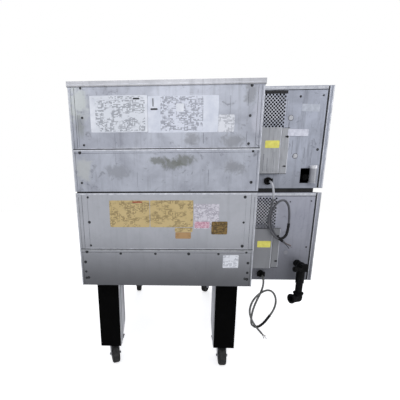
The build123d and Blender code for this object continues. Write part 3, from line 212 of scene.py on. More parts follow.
# Each route runs from inside its clamp to its cut end, in mm from the wall between body and
# cabinets, out from the rear panel and down from the cabinet's top.
cord_routes = {
    "upper": ((81, -8, 469), (81, 60, 469), (89, 80, 504), (92, 87, 546),
              (88, 85, 591), (82, 78, 635), (81, 70, 678), (93, 63, 721), (115, 58, 759),
              (150, 55, 786), (188, 54, 771), (196, 54, 727), (197, 55, 682), (194, 57, 638),
              (185, 59, 594), (156, 63, 564), (118, 67, 583), (98, 62, 623), (95, 54, 666),
              (105, 46, 709), (125, 40, 748), (154, 37, 781), (191, 35, 807)),
    "lower": ((81, -8, 469), (81, 60, 469), (81, 77, 511), (70, 79, 555),
              (53, 78, 599), (39, 75, 642), (30, 73, 687), (27, 69, 733), (34, 62, 777),
              (73, 54, 794), (108, 52, 767), (131, 55, 727), (153, 59, 687), (166, 60, 643),
              (164, 59, 597), (141, 62, 558), (103, 79, 542), (63, 99, 551), (29, 106, 580),
              (11, 102, 622), (7, 95, 667), (18, 89, 711), (39, 84, 752), (66, 80, 788),
              (95, 71, 823)),
}
taped_shares = {"upper": ((0.42, 0.54), (0.935, 0.985)), "lower": ((0.36, 0.48),)}
# The upper cord's sheath turns dark from 0.54 m below its cabinet's top; the lower cord is darker.
grey_pvc = {"upper": mottled("grey_pvc_sheath", "c2c4c9", "94969c", 40, (0.42, 0.6), bump=0.3,
                             falloff=(cabinet_top["upper"] - 0.575, cabinet_top["upper"] - 0.54,
                                      "34353a", 0.9)),
            "lower": mottled("darker_grey_pvc_sheath", "6e6f6d", "474846", 30, (0.5, 0.7), bump=0.3)}
black_tape = mottled("black_pvc_tape", "161618", "060607", 12, (0.4, 0.6), bump=0.4, shine=0.25)
bare_copper = mottled("stripped_copper_strand", "7c5c40", "4c3826", 4, (0.4, 0.6), 0.8)


def tube_along(name, points, radius, material, turns):
    """A closed round tube through a list of points, as a plain mesh."""
    mesh = bpy.data.meshes.new(name)
    verts, faces = [], []
    ahead = [(points[min(i + 1, len(points) - 1)] - points[max(i - 1, 0)]).normalized()
             for i in range(len(points))]
    side = ahead[0].orthogonal().normalized()
    for i, point in enumerate(points):
        side = (side - ahead[i] * side.dot(ahead[i])).normalized()
        over = ahead[i].cross(side)
        width = radius[i] if isinstance(radius, (list, tuple)) else radius
        verts += [point + (side * math.cos(a) + over * math.sin(a)) * width
                  for a in (2 * math.pi * k / turns for k in range(turns))]
    for i in range(len(points) - 1):
        for k in range(turns):
            a, b = i * turns + k, i * turns + (k + 1) % turns
            faces.append((a, b, b + turns, a + turns))
    faces.append(tuple(reversed(range(turns))))
    faces.append(tuple(len(verts) - turns + k for k in range(turns)))
    mesh.from_pydata([tuple(v) for v in verts], [], faces)
    mesh.materials.append(material)
    mesh.polygons.foreach_set("use_smooth", [True] * len(mesh.polygons))
    return placed(name, mesh)


def spline_points(curve_object, count):
    """Evenly spaced points along a cord's own smooth line."""
    bare = curve_object.data.copy()
    bare.bevel_depth = 0
    holder = placed("line", bare)
    depsgraph = bpy.context.evaluated_depsgraph_get()
    line = bpy.data.meshes.new_from_object(holder.evaluated_get(depsgraph))
    raw = [v.co.copy() for v in line.vertices]
    bpy.data.objects.remove(holder)
    lengths = [0.0]
    for a, b in zip(raw, raw[1:]):
        lengths.append(lengths[-1] + (b - a).length)
    found, spot = [], 0
    for i in range(count + 1):
        want = lengths[-1] * i / count
        while spot < len(raw) - 2 and lengths[spot + 1] < want:
            spot += 1
        part = (want - lengths[spot]) / max(lengths[spot + 1] - lengths[spot], 1e-9)
        found.append(raw[spot].lerp(raw[spot + 1], min(part, 1)))
    return found


for deck, route in cord_routes.items():
    data = bpy.data.curves.new(f"{deck}_mains_cord", "CURVE")
    data.dimensions = "3D"
    data.resolution_u = 10
    data.bevel_depth = cord_width / 2
    data.bevel_resolution = 5
    data.use_fill_caps = True
    line = data.splines.new("NURBS")
    line.points.add(len(route) - 1)
    for point, (left, out, drop) in zip(line.points, route):
        point.co = (wall_x - left / 1000, back_y + out / 1000, cabinet_top[deck] - drop / 1000, 1)
    line.order_u = 3
    line.use_endpoint_u = True
    data.materials.append(grey_pvc[deck])
    mains_cord = placed(f"{deck}_mains_cord", data)
    bpy.context.view_layer.update()
    line_points = spline_points(mains_cord, line_steps)
    wave = random.Random(7)
    tapes = []
    for index, bound in enumerate(taped_shares[deck]):
        first, last = (int(line_steps * share) for share in bound)
        wraps = [cord_width / 2 + tape_thick * (1 + ((i // 3) % 2) / 2) + wave.uniform(0, 0.0004)
                 for i in range(first, last + 1)]
        tapes.append(tube_along(f"{deck}_cord_tape_{index + 1}", line_points[first:last + 1], wraps,
                                black_tape, 14))
    end, along = line_points[-1], (line_points[-1] - line_points[-6]).normalized()
    side = along.cross(Vector((0, 1, 0))).normalized()
    over = along.cross(side)
    stripped = []
    for index in range(3):
        angle = math.radians(120 * index + 20)
        outward = side * math.cos(angle) + over * math.sin(angle)
        root = end + outward * 0.0026 - along * 0.003
        curl = [root + along * (lead_length * t) + outward * (lead_spread * t * t)
                for t in (k / 9 for k in range(10))]
        stripped.append(tube_along(f"{deck}_cord_lead_{index + 1}", curl, lead_width / 2,
                                   (black_tape, bare_copper, grey_pvc["upper"])[index], 8))
    for piece in (mains_cord, *tapes, *stripped):
        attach(piece, "oven")
    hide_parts(f"{deck}_power_cord")
    for piece in (*tapes, *stripped):
        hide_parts(f"{deck}_cord_end")


# The outer sheets are brushed stainless steel, folded and screwed together. Years of kitchen use
# left the upper deck smeared and streaked, while the lower deck is cleaner and evenly grey, under
# painted shade that darkens it towards the floor.
def brushed_sheet(name, pale, mid, dark, smear, streak, stain, falloff=None, scuff=()):
    """Brushed stainless: drifting smears, streaks that run down, stains and a fine grain."""
    made, tree = start_material(name)
    rough, metal, smear_mm, spot_mm, dent_mm = 0.42, 0.4, 170, 48, 320
    where = put(tree, "ShaderNodeTexCoord").outputs["Object"]
    drift = noise(tree, where, 1000 / smear_mm, 6.0, Roughness=0.62, Distortion=0.5)
    runs = put(tree, "ShaderNodeMapping", {"Vector": where, "Scale": (38, 38, 3.2)}).outputs[0]
    runs = noise(tree, runs, 1.0, 4.0, Roughness=0.65)
    spots = noise(tree, where, 1000 / spot_mm, 8.0, Roughness=0.72, Distortion=0.9)
    grain = put(tree, "ShaderNodeMapping", {"Vector": where, "Scale": (30, 30, 700)}).outputs[0]
    grain = noise(tree, grain, 1.0, 3.0)
    colour = mixed(tree, ranged(tree, drift, 0.42, 0.66, 0.0, smear), pale, mid)
    colour = mixed(tree, ranged(tree, runs, 0.52, 0.72, 0.0, streak), colour, dark)
    colour = mixed(tree, ranged(tree, spots, 0.58, 0.7, 0.0, stain), colour, dark)
    if falloff:
        colour = faded_below(tree, where, colour, falloff)
    for centre, reach, rub_tone in scuff:
        offset = [-c * r for c, r in zip(centre, reach)]
        spot = put(tree, "ShaderNodeMapping", {"Vector": where, "Location": offset, "Scale": reach})
        spot = put(tree, "ShaderNodeVectorMath", {0: spot.outputs[0]}, operation="LENGTH")
        ragged = put(tree, "ShaderNodeMath", {0: spots, 1: 2.6}, operation="MULTIPLY").outputs[0]
        spot = put(tree, "ShaderNodeMath", {0: spot.outputs["Value"], 1: ragged}, operation="ADD")
        rubbed = ranged(tree, spot.outputs[0], 1.75, 2.2, 0.75, 0.0)
        colour = mixed(tree, rubbed, colour, rub_tone)
    gloss = ranged(tree, drift, 0.3, 0.7, rough - 0.06, rough + 0.12)
    dents = noise(tree, where, 1000 / dent_mm, 1.0)
    relief = bumped(tree, dents, 0.35, 0.006, Normal=bumped(tree, grain, 0.12, 0.0003))
    finish_material(tree, Base_Color=colour, Metallic=metal, Roughness=gloss, Normal=relief)
    return made


def wear(material, *names):
    """Give a material to CAD nodes."""
    for name in names:
        slots = nodes[name].data.materials
        slots.clear()
        slots.append(material)


base_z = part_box("lower_rear_panels")[0].z
deck_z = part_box("upper_rear_panels")[0].z
shroud_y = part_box("upper_rear_panels")[1].y
left_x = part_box("upper_rear_panels")[1].x
deck_height = deck_z - base_z
deck_top = {"lower": deck_z, "upper": deck_z + deck_height}
# Rubbed and smudged spots on the upper shroud: middle across, height above the deck's base,
# how fast each fades across and down, and its tone.
rub, smudge, dull_smudge = "70736d", "8b8d92", "92959c"
upper_marks = [((x, shroud_y, deck_z + height), (across, 1, down), mark)
               for x, height, across, down, mark in (
                   (0.100, 0.154, 14.0, 30.0, rub), (0.215, 0.152, 16.0, 38.0, rub),
                   (0.160, 0.134, 15.0, 28.0, rub), (-0.145, 0.245, 15.0, 21.0, smudge),
                   (-0.159, 0.119, 14.0, 22.0, smudge), (-0.222, 0.450, 26.0, 16.0, smudge),
                   (left_x - 0.050, 0.430, 17.0, 8.5, "c3c8c5"),
                   (left_x - 0.050, 0.110, 17.0, 12.0, "bbbebd"),
                   (wall_x + 0.022, 0.360, 28.0, 7.0, "bcbec8"),
                   (0.612, 0.320, 36.0, 13.0, "8f9392"), (0.433, 0.100, 13.0, 24.0, dull_smudge),
                   (0.054, 0.257, 22.0, 26.0, smudge))]
upper_sheet = brushed_sheet("smeared_stainless_sheet", "b5b9c3", "999ca6", "64666b", 0.85, 0.3,
                            0.75, scuff=upper_marks)
# Painted shade: the lower deck's sheet turns darker towards the floor.
lower_sheet = brushed_sheet("clean_stainless_sheet", "b4b6bc", "a2a5aa", "7e8083", 0.5, 0.15,
                            0.15, falloff=(base_z - 0.02, base_z + 0.36, "56575a", 0.95))
frame_sheet = brushed_sheet("frame_stainless_sheet", "bcbdc1", "abacb0", "747579", 0.6, 0.4, 0.4)
wear(upper_sheet, "upper_rear_panels")
wear(lower_sheet, "lower_rear_panels")
wear(frame_sheet, "upper_body_shell", "lower_body_shell", "shroud_frame", "top_cap")

# The cabinets' rear sheets are smeared too and paler round their vents, and painted shade darkens
# their lower parts. Inside, the sheets and the walls of the vents' holes are near black with
# painted shade.
vent_left, vent_drop, vent_half_width, vent_half_height = 0.076, 0.111, 0.070, 0.087
vent_pale_patches = {deck: [((wall_x - vent_left, back_y, top - vent_drop), (12.0, 1, 9.5), vent_tone)]
             for (deck, top), vent_tone in zip(cabinet_top.items(), ("c6c8ce", "cccdd2"))}
# Painted shade: each cabinet's sheet turns darker over its lowest part.
cabinet_sheet = {
    "upper": brushed_sheet("streaked_cabinet_sheet", "b3b8c5", "979ba6", "55575c", 0.8, 0.5, 0.7,
                           falloff=(deck_z, deck_z + 0.2, "7b7d83", 0.5),
                           scuff=vent_pale_patches["upper"]),
    "lower": brushed_sheet("grey_cabinet_sheet", "a6a8b3", "9294a0", "5c5d63", 0.7, 0.35, 0.4,
                           falloff=(base_z, base_z + 0.42, "5c5d62", 0.85),
                           scuff=vent_pale_patches["lower"])}
# Painted shade: near black for the shade inside the cabinets and in the vents' holes.
inside_shade = mottled("painted_shade_inside_cabinet", "161617", "080809", 40, (0.6, 0.8), shine=0.1)
for deck, top in cabinet_top.items():
    wear(cabinet_sheet[deck], f"{deck}_cabinet_back", f"{deck}_cabinet_shell")
    low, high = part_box(f"{deck}_cabinet_shell")
    inside = (low + high) / 2
    for part in ("back", "shell"):
        sheet = nodes[f"{deck}_cabinet_{part}"].data
        sheet.materials.append(inside_shade)
        for face in sheet.polygons:
            vent_wall = (abs(face.normal.y) < 0.5
                         and abs(face.center.x - wall_x + vent_left) < vent_half_width
                         and abs(face.center.z - top + vent_drop) < vent_half_height)
            if vent_wall or face.normal.dot(face.center - inside) < 0:
                face.material_index = 1

# The terminal covers, the fronts and the gap between the decks: folded stainless steel screwed
# on, and spacers in black paint.
# Painted shade: the terminal covers turn darker downwards, from a little above the upper deck's
# base.
cover_sheet = brushed_sheet("terminal_cover_sheet", "abadb1", "919396", "66686b", 0.6, 0.6, 0.3,
                            falloff=(deck_z - 0.25, deck_z + 0.15, "7c7d80", 0.8))
wear(cover_sheet, "terminal_box_covers")
front_sheet = brushed_sheet("front_stainless_sheet", "b9bcc3", "a7aab1", "85878c", 0.45, 0.2, 0.15)
wear(front_sheet, "front_panels", "upper_window_door", "lower_window_door")
dark_gap = mottled("dark_spacer_paint", "161618", "060607", 60, (0.6, 0.8))
wear(dark_gap, "stacking_spacers")


# Seams: painted shade lies as black strips in the gaps between the folded sheets, and painted
# highlights lie along the folds beside them. Both are thin strips that follow the sheets' edges.
def closed_piece(name, verts, faces, material):
    """A fixed piece from a closed skin, with every face turned outwards."""
    mesh = bpy.data.meshes.new(name)
    mesh.from_pydata(verts, [], faces)
    mesh.materials.append(material)
    made = bmesh.new()
    made.from_mesh(mesh)
    bmesh.ops.recalc_face_normals(made, faces=made.faces)
    made.to_mesh(mesh)
    made.free()
    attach(placed(name, mesh), "oven")


def strip(name, x0, x1, z0, z1, y, proud, material, seed, wander=0.0006):
    """A thin bead along a seam, with slightly uneven edges and its root in the sheet."""
    draw = random.Random(seed)
    step, root, shoulder, sides = 0.02, 0.0004, 0.55, 6
    along_x = abs(x1 - x0) > abs(z1 - z0)
    count = max(4, int(max(abs(x1 - x0), abs(z1 - z0)) / step))
    verts, faces = [], []
    for i in range(count + 1):
        share = i / count
        low, high = draw.uniform(0, wander), draw.uniform(0, wander)
        if along_x:
            x = x0 + (x1 - x0) * share
            ring = ((x, z0 + low), (x, (z0 + z1) / 2), (x, z1 - high))
        else:
            z = z0 + (z1 - z0) * share
            ring = ((x0 + low, z), ((x0 + x1) / 2, z), (x1 - high, z))
        heights = (proud * shoulder, proud, proud * shoulder)
        verts += [(px, y + h, pz) for (px, pz), h in zip(ring, heights)]
        verts += [(px, y - root, pz) for px, pz in reversed(ring)]
    for i in range(count):
        for k in range(sides):
            a, b = i * sides + k, i * sides + (k + 1) % sides
            faces.append((a, b, b + sides, a + sides))
    faces += [tuple(range(sides - 1, -1, -1)), tuple(count * sides + k for k in range(sides))]
    closed_piece(name, verts, faces, material)


# Painted shade: black for the seams' gaps, the lines under lips and edges, and the screws' dirt
# rings.
seam_shade_and_dirt = mottled("black_painted_seam_shade_and_dirt", "1b1b1e", "040405", 9, (0.55, 0.8), bump=0.5)
# Painted highlights: pale strips along the folded edges that catch the light, dimmer on the lower
# deck.
fold_highlight = mottled("painted_highlight_on_fold", "d6d8de", "aeb1b8", 22, (0.35, 0.5), 0.4)
dim_fold_highlight = mottled("painted_dim_highlight_on_fold", "b3b5b8", "8f9194", 22, (0.35, 0.5), 0.4)
seam_drop, margin, line_half = 0.312, 0.030, 0.0006
for index, (deck, top) in enumerate(deck_top.items()):
    seam = top - seam_drop
    strip(f"{deck}_seam_shade_and_dirt", wall_x + 0.001, left_x - 0.001, seam - 0.0004, seam + 0.0040,
          shroud_y - 0.0006, 0.0012, seam_shade_and_dirt, 3 + index)
    strip(f"{deck}_flange_line", wall_x + 0.001, left_x - 0.001, seam - 0.0186, seam - 0.0164,
          shroud_y - 0.0004, 0.0006, seam_shade_and_dirt, 5 + index)
    strip(f"{deck}_flange_fold", wall_x + 0.002, left_x - 0.002, seam - 0.0075, seam - 0.0012,
          shroud_y, 0.0011, fold_highlight if deck == "upper" else dim_fold_highlight, 7 + index)
    strip(f"{deck}_panel_fold", wall_x + margin, left_x - margin, seam + 0.0046, seam + 0.0072,
          shroud_y, 0.0008, fold_highlight, 8 + index)
    for side, x in (("left", left_x - margin), ("right", wall_x + margin)):
        strip(f"{deck}_{side}_margin_line", x - line_half, x + line_half + 0.0004, seam + 0.004,
              top - 0.012 - 0.018 * index, shroud_y - 0.0004, 0.0007, seam_shade_and_dirt, 11 + index)
for index, (deck, top) in enumerate(deck_top.items()):
    low, high = top - deck_height + 0.004, top - 0.030
    for side, x, inward in (("left", left_x, -1), ("right", wall_x, 1)):
        a, b = sorted((x + inward * 0.001, x + inward * 0.0055))
        strip(f"{deck}_{side}_edge_fold", a, b, low, high, shroud_y, 0.0010, fold_highlight,
              61 + index)
        a, b = sorted((x + inward * 0.0125, x + inward * 0.0145))
        strip(f"{deck}_{side}_edge_line", a, b, low, high, shroud_y - 0.0003, 0.0007, seam_shade_and_dirt,
              63 + index)
strip("lower_top_fold", wall_x + 0.004, left_x - 0.004, deck_z - 0.0185, deck_z - 0.0095,
      shroud_y, 0.0012, fold_highlight, 21)
cap_y, cap_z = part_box("top_cap")[1].y, deck_top["upper"]
strip("cap_shadow", wall_x - 0.002, left_x + 0.002, cap_z - 0.0250, cap_z - 0.0212,
      cap_y - 0.0004, 0.0005, seam_shade_and_dirt, 23)
strip("cap_edge", wall_x - 0.002, left_x + 0.002, cap_z - 0.0180, cap_z - 0.0120,
      cap_y - 0.0004, 0.0005, fold_highlight, 24)
cover_proud, flange_proud = 0.026, 0.002
for index, (deck, top) in enumerate(cabinet_top.items()):
    outer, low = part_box(f"{deck}_cabinet_back")[0].x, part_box(f"{deck}_cabinet_back")[0].z
    edge = outer + 0.022
    strip(f"{deck}_edge_gap", edge + 0.0006, edge + 0.0084, low + 0.003, top - 0.003,
          back_y - 0.0011, 0.001, seam_shade_and_dirt, 31 + index)
    strip(f"{deck}_edge_fold", outer + 0.001, outer + 0.007, low + 0.002, top - 0.002,
          back_y, 0.0012, fold_highlight if deck == "upper" else dim_fold_highlight, 33 + index)
    strip(f"{deck}_edge_inner_fold", edge - 0.004, edge - 0.0008, low + 0.002, top - 0.002,
          back_y, 0.001, fold_highlight, 35 + index)
    strip(f"{deck}_cabinet_top_fold", outer + 0.03, wall_x - 0.004, top - 0.0165, top - 0.003,
          back_y, 0.0016, fold_highlight, 37 + index)
    strip(f"{deck}_cabinet_top_line", outer + 0.03, wall_x - 0.004, top - 0.0205, top - 0.0172,
          back_y, 0.0009, seam_shade_and_dirt, 39 + index)
    for line, drop in (("upper", 0.1985), ("lower", 0.4315)):
        strip(f"{deck}_cover_{line}_line", wall_x - 0.176, wall_x - 0.003, top - drop - 0.0014,
              top - drop + 0.0014, back_y, 0.0012, seam_shade_and_dirt, 41 + index)
    strip(f"{deck}_cover_fold", wall_x - 0.1255, wall_x - 0.1225, top - 0.428, top - 0.202,
          back_y + cover_proud, 0.0008, fold_highlight, 43 + index)
    strip(f"{deck}_cover_rim", wall_x - 0.1756, wall_x - 0.1725, top - 0.428, top - 0.202,
          back_y + flange_proud, 0.0008, fold_highlight, 45 + index)
    strip(f"{deck}_wall_line", wall_x - 0.0045, wall_x - 0.001, low + 0.004, top - 0.004,
          back_y, 0.0012, seam_shade_and_dirt, 47 + index)
strip("vent_shade", wall_x - 0.150, wall_x - 0.010, cabinet_top["upper"] - 0.0355,
      cabinet_top["upper"] - 0.021, back_y, 0.0012, seam_shade_and_dirt, 51)


# Grease runs: thin dried trickles of grease and dirt that ran down the rear panels. Each is a
# narrow uneven bead: mm from the left edge, or from the wall, drops from the top, and width.
dried_grease = mottled("dried_grease_run", "7d8088", "54565c", 5, (0.4, 0.6), bump=0.5)
for index, (deck, across, drop_from, drop_to, wide) in enumerate((
        ("upper", 222, 236, 306, 1.8), ("upper", 222, 334, 392, 1.5), ("upper", 664, 238, 288, 2.6),
        ("upper", 694, 412, 490, 2.2), ("upper", 214, 36, 62, 1.6), ("upper", 604, 262, 300, 1.4),
        ("upper", 874, 46, 120, 2.4), ("upper", 876, 232, 300, 2.2), ("upper", 40, 150, 298, 1.8),
        ("upper", 330, 424, 498, 1.2), ("upper", 396, 440, 506, 1.2), ("upper", 790, 72, 170, 2.0),
        ("lower", 894, 24, 292, 1.2), ("lower", 60, 30, 300, 1.4), ("lower", 640, 372, 470, 1.2))):
    x, top = left_x - across / 1000, deck_top[deck]
    strip(f"grease_run_{index + 1}", x - wide / 2000, x + wide / 2000, top - drop_to / 1000,
          top - drop_from / 1000, shroud_y, 0.0006, dried_grease, 80 + index, 0.0005)
cover_width = 120
for index, (across, drop_from, drop_to, wide) in enumerate((
        (42, 330, 418, 3.0), (62, 350, 420, 2.4), (96, 322, 424, 2.0), (168, 172, 200, 4.0),
        (150, 60, 160, 1.8), (196, 260, 330, 2.4), (262, 300, 352, 2.4), (300, 250, 420, 1.6))):
    x, top = wall_x - across / 1000, cabinet_top["upper"]
    strip(f"cabinet_grease_run_{index + 1}", x - wide / 2000, x + wide / 2000, top - drop_to / 1000,
          top - drop_from / 1000, back_y + (cover_proud if across < cover_width else 0.0),
          0.0006, dried_grease, 100 + index, 0.0005)


# Sheets and stickers: paper and foil stuck flat on the steel, with rounded corners and edges that
# lift a little. Their faces carry only ruled boxes and dashes, or nothing at all.
def foil(name, x0, x1, z0, z1, y, material, lean=0.0):
    """A thin stuck sheet with clipped corners and a slightly uneven rim, as a closed mesh."""
    draw = random.Random(len(name))
    columns, rows, glue, lift, curl, corner = 14, 8, 0.0001, 0.0004, 0.0003, 0.0012
    verts, faces = [], []
    for layer in (0, 1):
        for j in range(rows + 1):
            for i in range(columns + 1):
                u, v = i / columns, j / rows
                edge = max(abs(u - 0.5), abs(v - 0.5)) * 2
                raised = lift * layer + curl * layer * (edge ** 6) * draw.uniform(0.2, 1)
                pull = corner * (1 if i in (0, columns) and j in (0, rows) else 0)
                px = x0 + (x1 - x0) * u + (pull if i == 0 else -pull if i == columns else 0)
                pz = z0 + (z1 - z0) * v + lean * (u - 0.5)
                pz += pull if j == 0 else -pull if j == rows else 0
                verts.append((px, y + glue + raised, pz))
    step = (columns + 1) * (rows + 1)
    for j in range(rows):
        for i in range(columns):
            a = j * (columns + 1) + i
            faces.append((a, a + 1, a + columns + 2, a + columns + 1))
            faces.append((step + a, step + a + columns + 1, step + a + columns + 2, step + a + 1))
    rim = [i for i in range(columns)] + [columns + j * (columns + 1) for j in range(rows)]
    rim += [rows * (columns + 1) + i for i in range(columns, 0, -1)]
    rim += [j * (columns + 1) for j in range(rows, 0, -1)]
    for a, b in zip(rim, rim[1:] + rim[:1]):
        faces.append((a, step + a, step + b, b))
    closed_piece(name, verts, faces, material)


def snapped_marks(tree, flat, step_x, step_z, share):
    """Marks on a share of the cells of a grid in mm, as 0 or 1."""
    cells = put(tree, "ShaderNodeVectorMath", {0: flat, 1: (step_x / 1000, step_z / 1000, 1)},
                operation="SNAP")
    chance = put(tree, "ShaderNodeTexWhiteNoise", {"Vector": cells.outputs[0]},
                 noise_dimensions="2D")
    return put(tree, "ShaderNodeMath", {0: chance.outputs["Value"], 1: 1 - share},
               operation="GREATER_THAN").outputs[0]


def ruled_paper(name, paper, shade, ink, cell_mm, amount, fill=0.5):
    """Paper or foil with rows of dashes and thin ruled lines, which stand for no words."""
    made, tree = start_material(name)
    rough, soil_mm = 0.45, 70
    where = put(tree, "ShaderNodeTexCoord").outputs["Object"]
    parts = put(tree, "ShaderNodeSeparateXYZ", {0: where})
    flat = put(tree, "ShaderNodeCombineXYZ", {0: parts.outputs["X"],
                                              1: parts.outputs["Z"]}).outputs[0]
    marks = snapped_marks(tree, flat, cell_mm, cell_mm * 0.7, 0.34)
    for step_x, step_z, share in ((cell_mm * 5, 3.0, 0.1), (3.0, cell_mm * 4, 0.1),
                                  (cell_mm * 2, 4.0, 0.14)):
        line = snapped_marks(tree, flat, step_x, step_z, share)
        marks = put(tree, "ShaderNodeMath", {0: marks, 1: line}, operation="MAXIMUM").outputs[0]
    area = noise(tree, flat, 1000 / (cell_mm * 7), 2.0)
    area = ranged(tree, area, 1.0 - fill - 0.06, 1.0 - fill + 0.02, 0.0, 1.0)
    for factor in (area, amount):
        marks = put(tree, "ShaderNodeMath", {0: marks, 1: factor}, operation="MULTIPLY").outputs[0]
    soil = noise(tree, where, 1000 / soil_mm, 5.0)
    colour = mixed(tree, marks, mixed(tree, soil, paper, shade), ink)
    creases = bumped(tree, soil, 0.2, 0.001)
    finish_material(tree, Base_Color=colour, Roughness=rough, Normal=creases)
    return made


white_paper = ruled_paper("white_diagram_paper", "e0e4ea", "cfd3db", "6c7079", 7, 0.62, 0.54)
pale_paper = ruled_paper("pale_diagram_paper", "dce0ea", "ced2de", "6a6d78", 7.5, 0.62, 0.56)
tan_foil = ruled_paper("tan_faded_sheet", "cbb685", "b8a26e", "6f5f3c", 7, 0.6, 0.5)
orange_foil = ruled_paper("orange_faded_sheet", "b8956a", "a18055", "8a6a44", 9, 0.45)
notice_paper = ruled_paper("white_ruled_paper", "d5d3da", "c2bfc8", "86828f", 6, 0.6, 0.6)
pink_paper = ruled_paper("pink_ruled_paper", "d8b9c4", "c8a5b2", "a8607a", 5, 0.6, 0.65)
gold_foil = ruled_paper("gold_ruled_foil", "8a6f3c", "6f5828", "3e2f16", 7, 0.75, 0.6)
plain_white = ruled_paper("small_white_paper", "e2e4ea", "d2d5db", "868992", 7, 0.5, 0.52)
yellow_foil = mottled("bare_yellow_foil", "e6e070", "d2cb5c", 16, (0.4, 0.55), bump=0.1)
white_tape = mottled("white_cloth_tape", "dadce6", "bcbeca", 20, (0.5, 0.7), bump=0.3)
ghost_film = mottled("pale_glue_film", "c3c8d2", "adb2bc", 18, (0.35, 0.5), 0.3, bump=0.1)
edge_white = mottled("plain_white_paper_edge", "e6e9ef", "d3d7df", 40, (0.4, 0.55), bump=0.1)
bare_paper = mottled("bare_pale_paper", "dde1ea", "cdd2de", 40, (0.4, 0.55), bump=0.1)
black_print = mottled("black_printing_ink", "2a2b31", "17181c", 20, (0.5, 0.6), bump=0.1)
faded_red = mottled("faded_red_printing_ink", "b4503c", "96402e", 20, (0.5, 0.6), bump=0.1)
paper_thick, tape_y = 0.0005, 0.0022


def on_deck(name, deck, from_left, to_left, from_top, to_top, material, layer=0):
    """Stick a sheet on a deck's shroud, placed in mm from its left edge and top as seen there."""
    foil(name, left_x - to_left / 1000, left_x - from_left / 1000,
         deck_top[deck] - to_top / 1000, deck_top[deck] - from_top / 1000,
         shroud_y + paper_thick * layer, material)


def on_cabinet(name, deck, from_wall, to_wall, from_top, to_top, y, material, lean=0.0):
    """Stick a piece on a cabinet's rear, placed in mm from the body's wall and its top."""
    foil(name, wall_x - to_wall / 1000, wall_x - from_wall / 1000,
         cabinet_top[deck] - to_top / 1000, cabinet_top[deck] - from_top / 1000, y, material,
         lean=lean)


on_deck("upper_sheet_border", "upper", 104, 388, 64, 231, edge_white)
on_deck("upper_sheet_left", "upper", 130, 376, 84, 227, white_paper, layer=1)
on_deck("upper_sheet_heading", "upper", 122, 372, 68, 80, white_paper, layer=1)
on_deck("upper_sheet_middle_border", "upper", 390, 734, 69, 235, bare_paper)
on_deck("upper_sheet_middle", "upper", 452, 660, 72, 227, pale_paper, layer=1)
on_deck("upper_sheet_blank", "upper", 528, 566, 104, 140, edge_white, layer=2)
on_deck("upper_sheet_right", "upper", 735, 813, 156, 235, plain_white)
on_deck("lower_sheet_tan_left", "lower", 176, 390, 46, 188, tan_foil)
on_deck("lower_sheet_tan_right", "lower", 393, 621, 46, 188, tan_foil)
on_deck("lower_sheet_tan_tail", "lower", 524, 619, 191, 214, tan_foil)
on_deck("lower_sheet_orange", "lower", 527, 611, 215, 250, orange_foil)
on_deck("lower_sheet_white", "lower", 625, 757, 65, 197, notice_paper)
on_deck("lower_sheet_pink", "lower", 630, 708, 158, 192, pink_paper, layer=1)
on_deck("lower_sheet_gold", "lower", 719, 803, 157, 226, gold_foil, layer=2)
on_deck("lower_sheet_small", "lower", 787, 872, 340, 413, plain_white)
for mark, place in (("left_dash", (318, 350, 76, 83)), ("middle_dash", (404, 438, 124, 131)),
                    ("middle_bar", (414, 418, 80, 116)), ("red_dash", (300, 352, 52, 58))):
    deck = "lower" if mark == "red_dash" else "upper"
    on_deck(f"printed_{mark}", deck, *place, faded_red if deck == "lower" else black_print, layer=3)
on_cabinet("upper_cover_sticker", "upper", 45, 119, 264, 301, back_y + cover_proud, yellow_foil)
on_cabinet("lower_cover_sticker", "lower", 43, 118, 268, 305, back_y + cover_proud, yellow_foil)
on_cabinet("upper_tape_piece", "upper", 166, 273, 206, 240, back_y + tape_y, white_tape, 0.002)
on_cabinet("upper_glue_patch", "upper", 226, 318, 86, 122, back_y, ghost_film, 0.004)


# Dark rings round the screw heads: grease that has gathered and darkened under every head, and
# painted shade round each head.
# One tree sets a flat disc of its own width on each place, and the head stands out of it.
def dirt_and_shade_rings(name, places, radius, height, material, spread=0.25):
    """Flat dark discs at a list of places on a rear surface, as one mesh."""
    spots = bpy.data.meshes.new(name + "_places")
    spots.from_pydata(places, [], [])
    holder = placed(name, spots)
    tree = bpy.data.node_groups.new(name + "_tree", "GeometryNodeTree")
    tree.interface.new_socket("Geometry", in_out="INPUT", socket_type="NodeSocketGeometry")
    size = tree.interface.new_socket("Radius", in_out="INPUT", socket_type="NodeSocketFloat")
    deep = tree.interface.new_socket("Height", in_out="INPUT", socket_type="NodeSocketFloat")
    tree.interface.new_socket("Geometry", in_out="OUTPUT", socket_type="NodeSocketGeometry")
    start = tree.nodes.new("NodeGroupInput")
    disc = put(tree, "GeometryNodeMeshCylinder", {"Vertices": 14, "Radius": start.outputs["Radius"],
                                                  "Depth": start.outputs["Height"]})
    chance = put(tree, "FunctionNodeRandomValue", {2: 1 - spread, 3: 1 + spread, "Seed": 4},
                 data_type="FLOAT")
    copies = put(tree, "GeometryNodeInstanceOnPoints",
                 {"Points": start.outputs["Geometry"], "Instance": disc.outputs["Mesh"],
                  "Rotation": (math.pi / 2, 0, 0), "Scale": chance.outputs[1]})
    real = put(tree, "GeometryNodeRealizeInstances", {"Geometry": copies.outputs[0]})
    dressed = put(tree, "GeometryNodeSetMaterial", {"Geometry": real.outputs[0],
                                                    "Material": material})
    put(tree, "NodeGroupOutput", {"Geometry": dressed.outputs[0]})
    growth = holder.modifiers.new("rings", "NODES")
    growth.node_group = tree
    growth[size.identifier] = radius
    growth[deep.identifier] = height
    depsgraph = bpy.context.evaluated_depsgraph_get()
    mesh = bpy.data.meshes.new_from_object(holder.evaluated_get(depsgraph))
    holder.modifiers.clear()
    holder.data = mesh
    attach(holder, "oven")


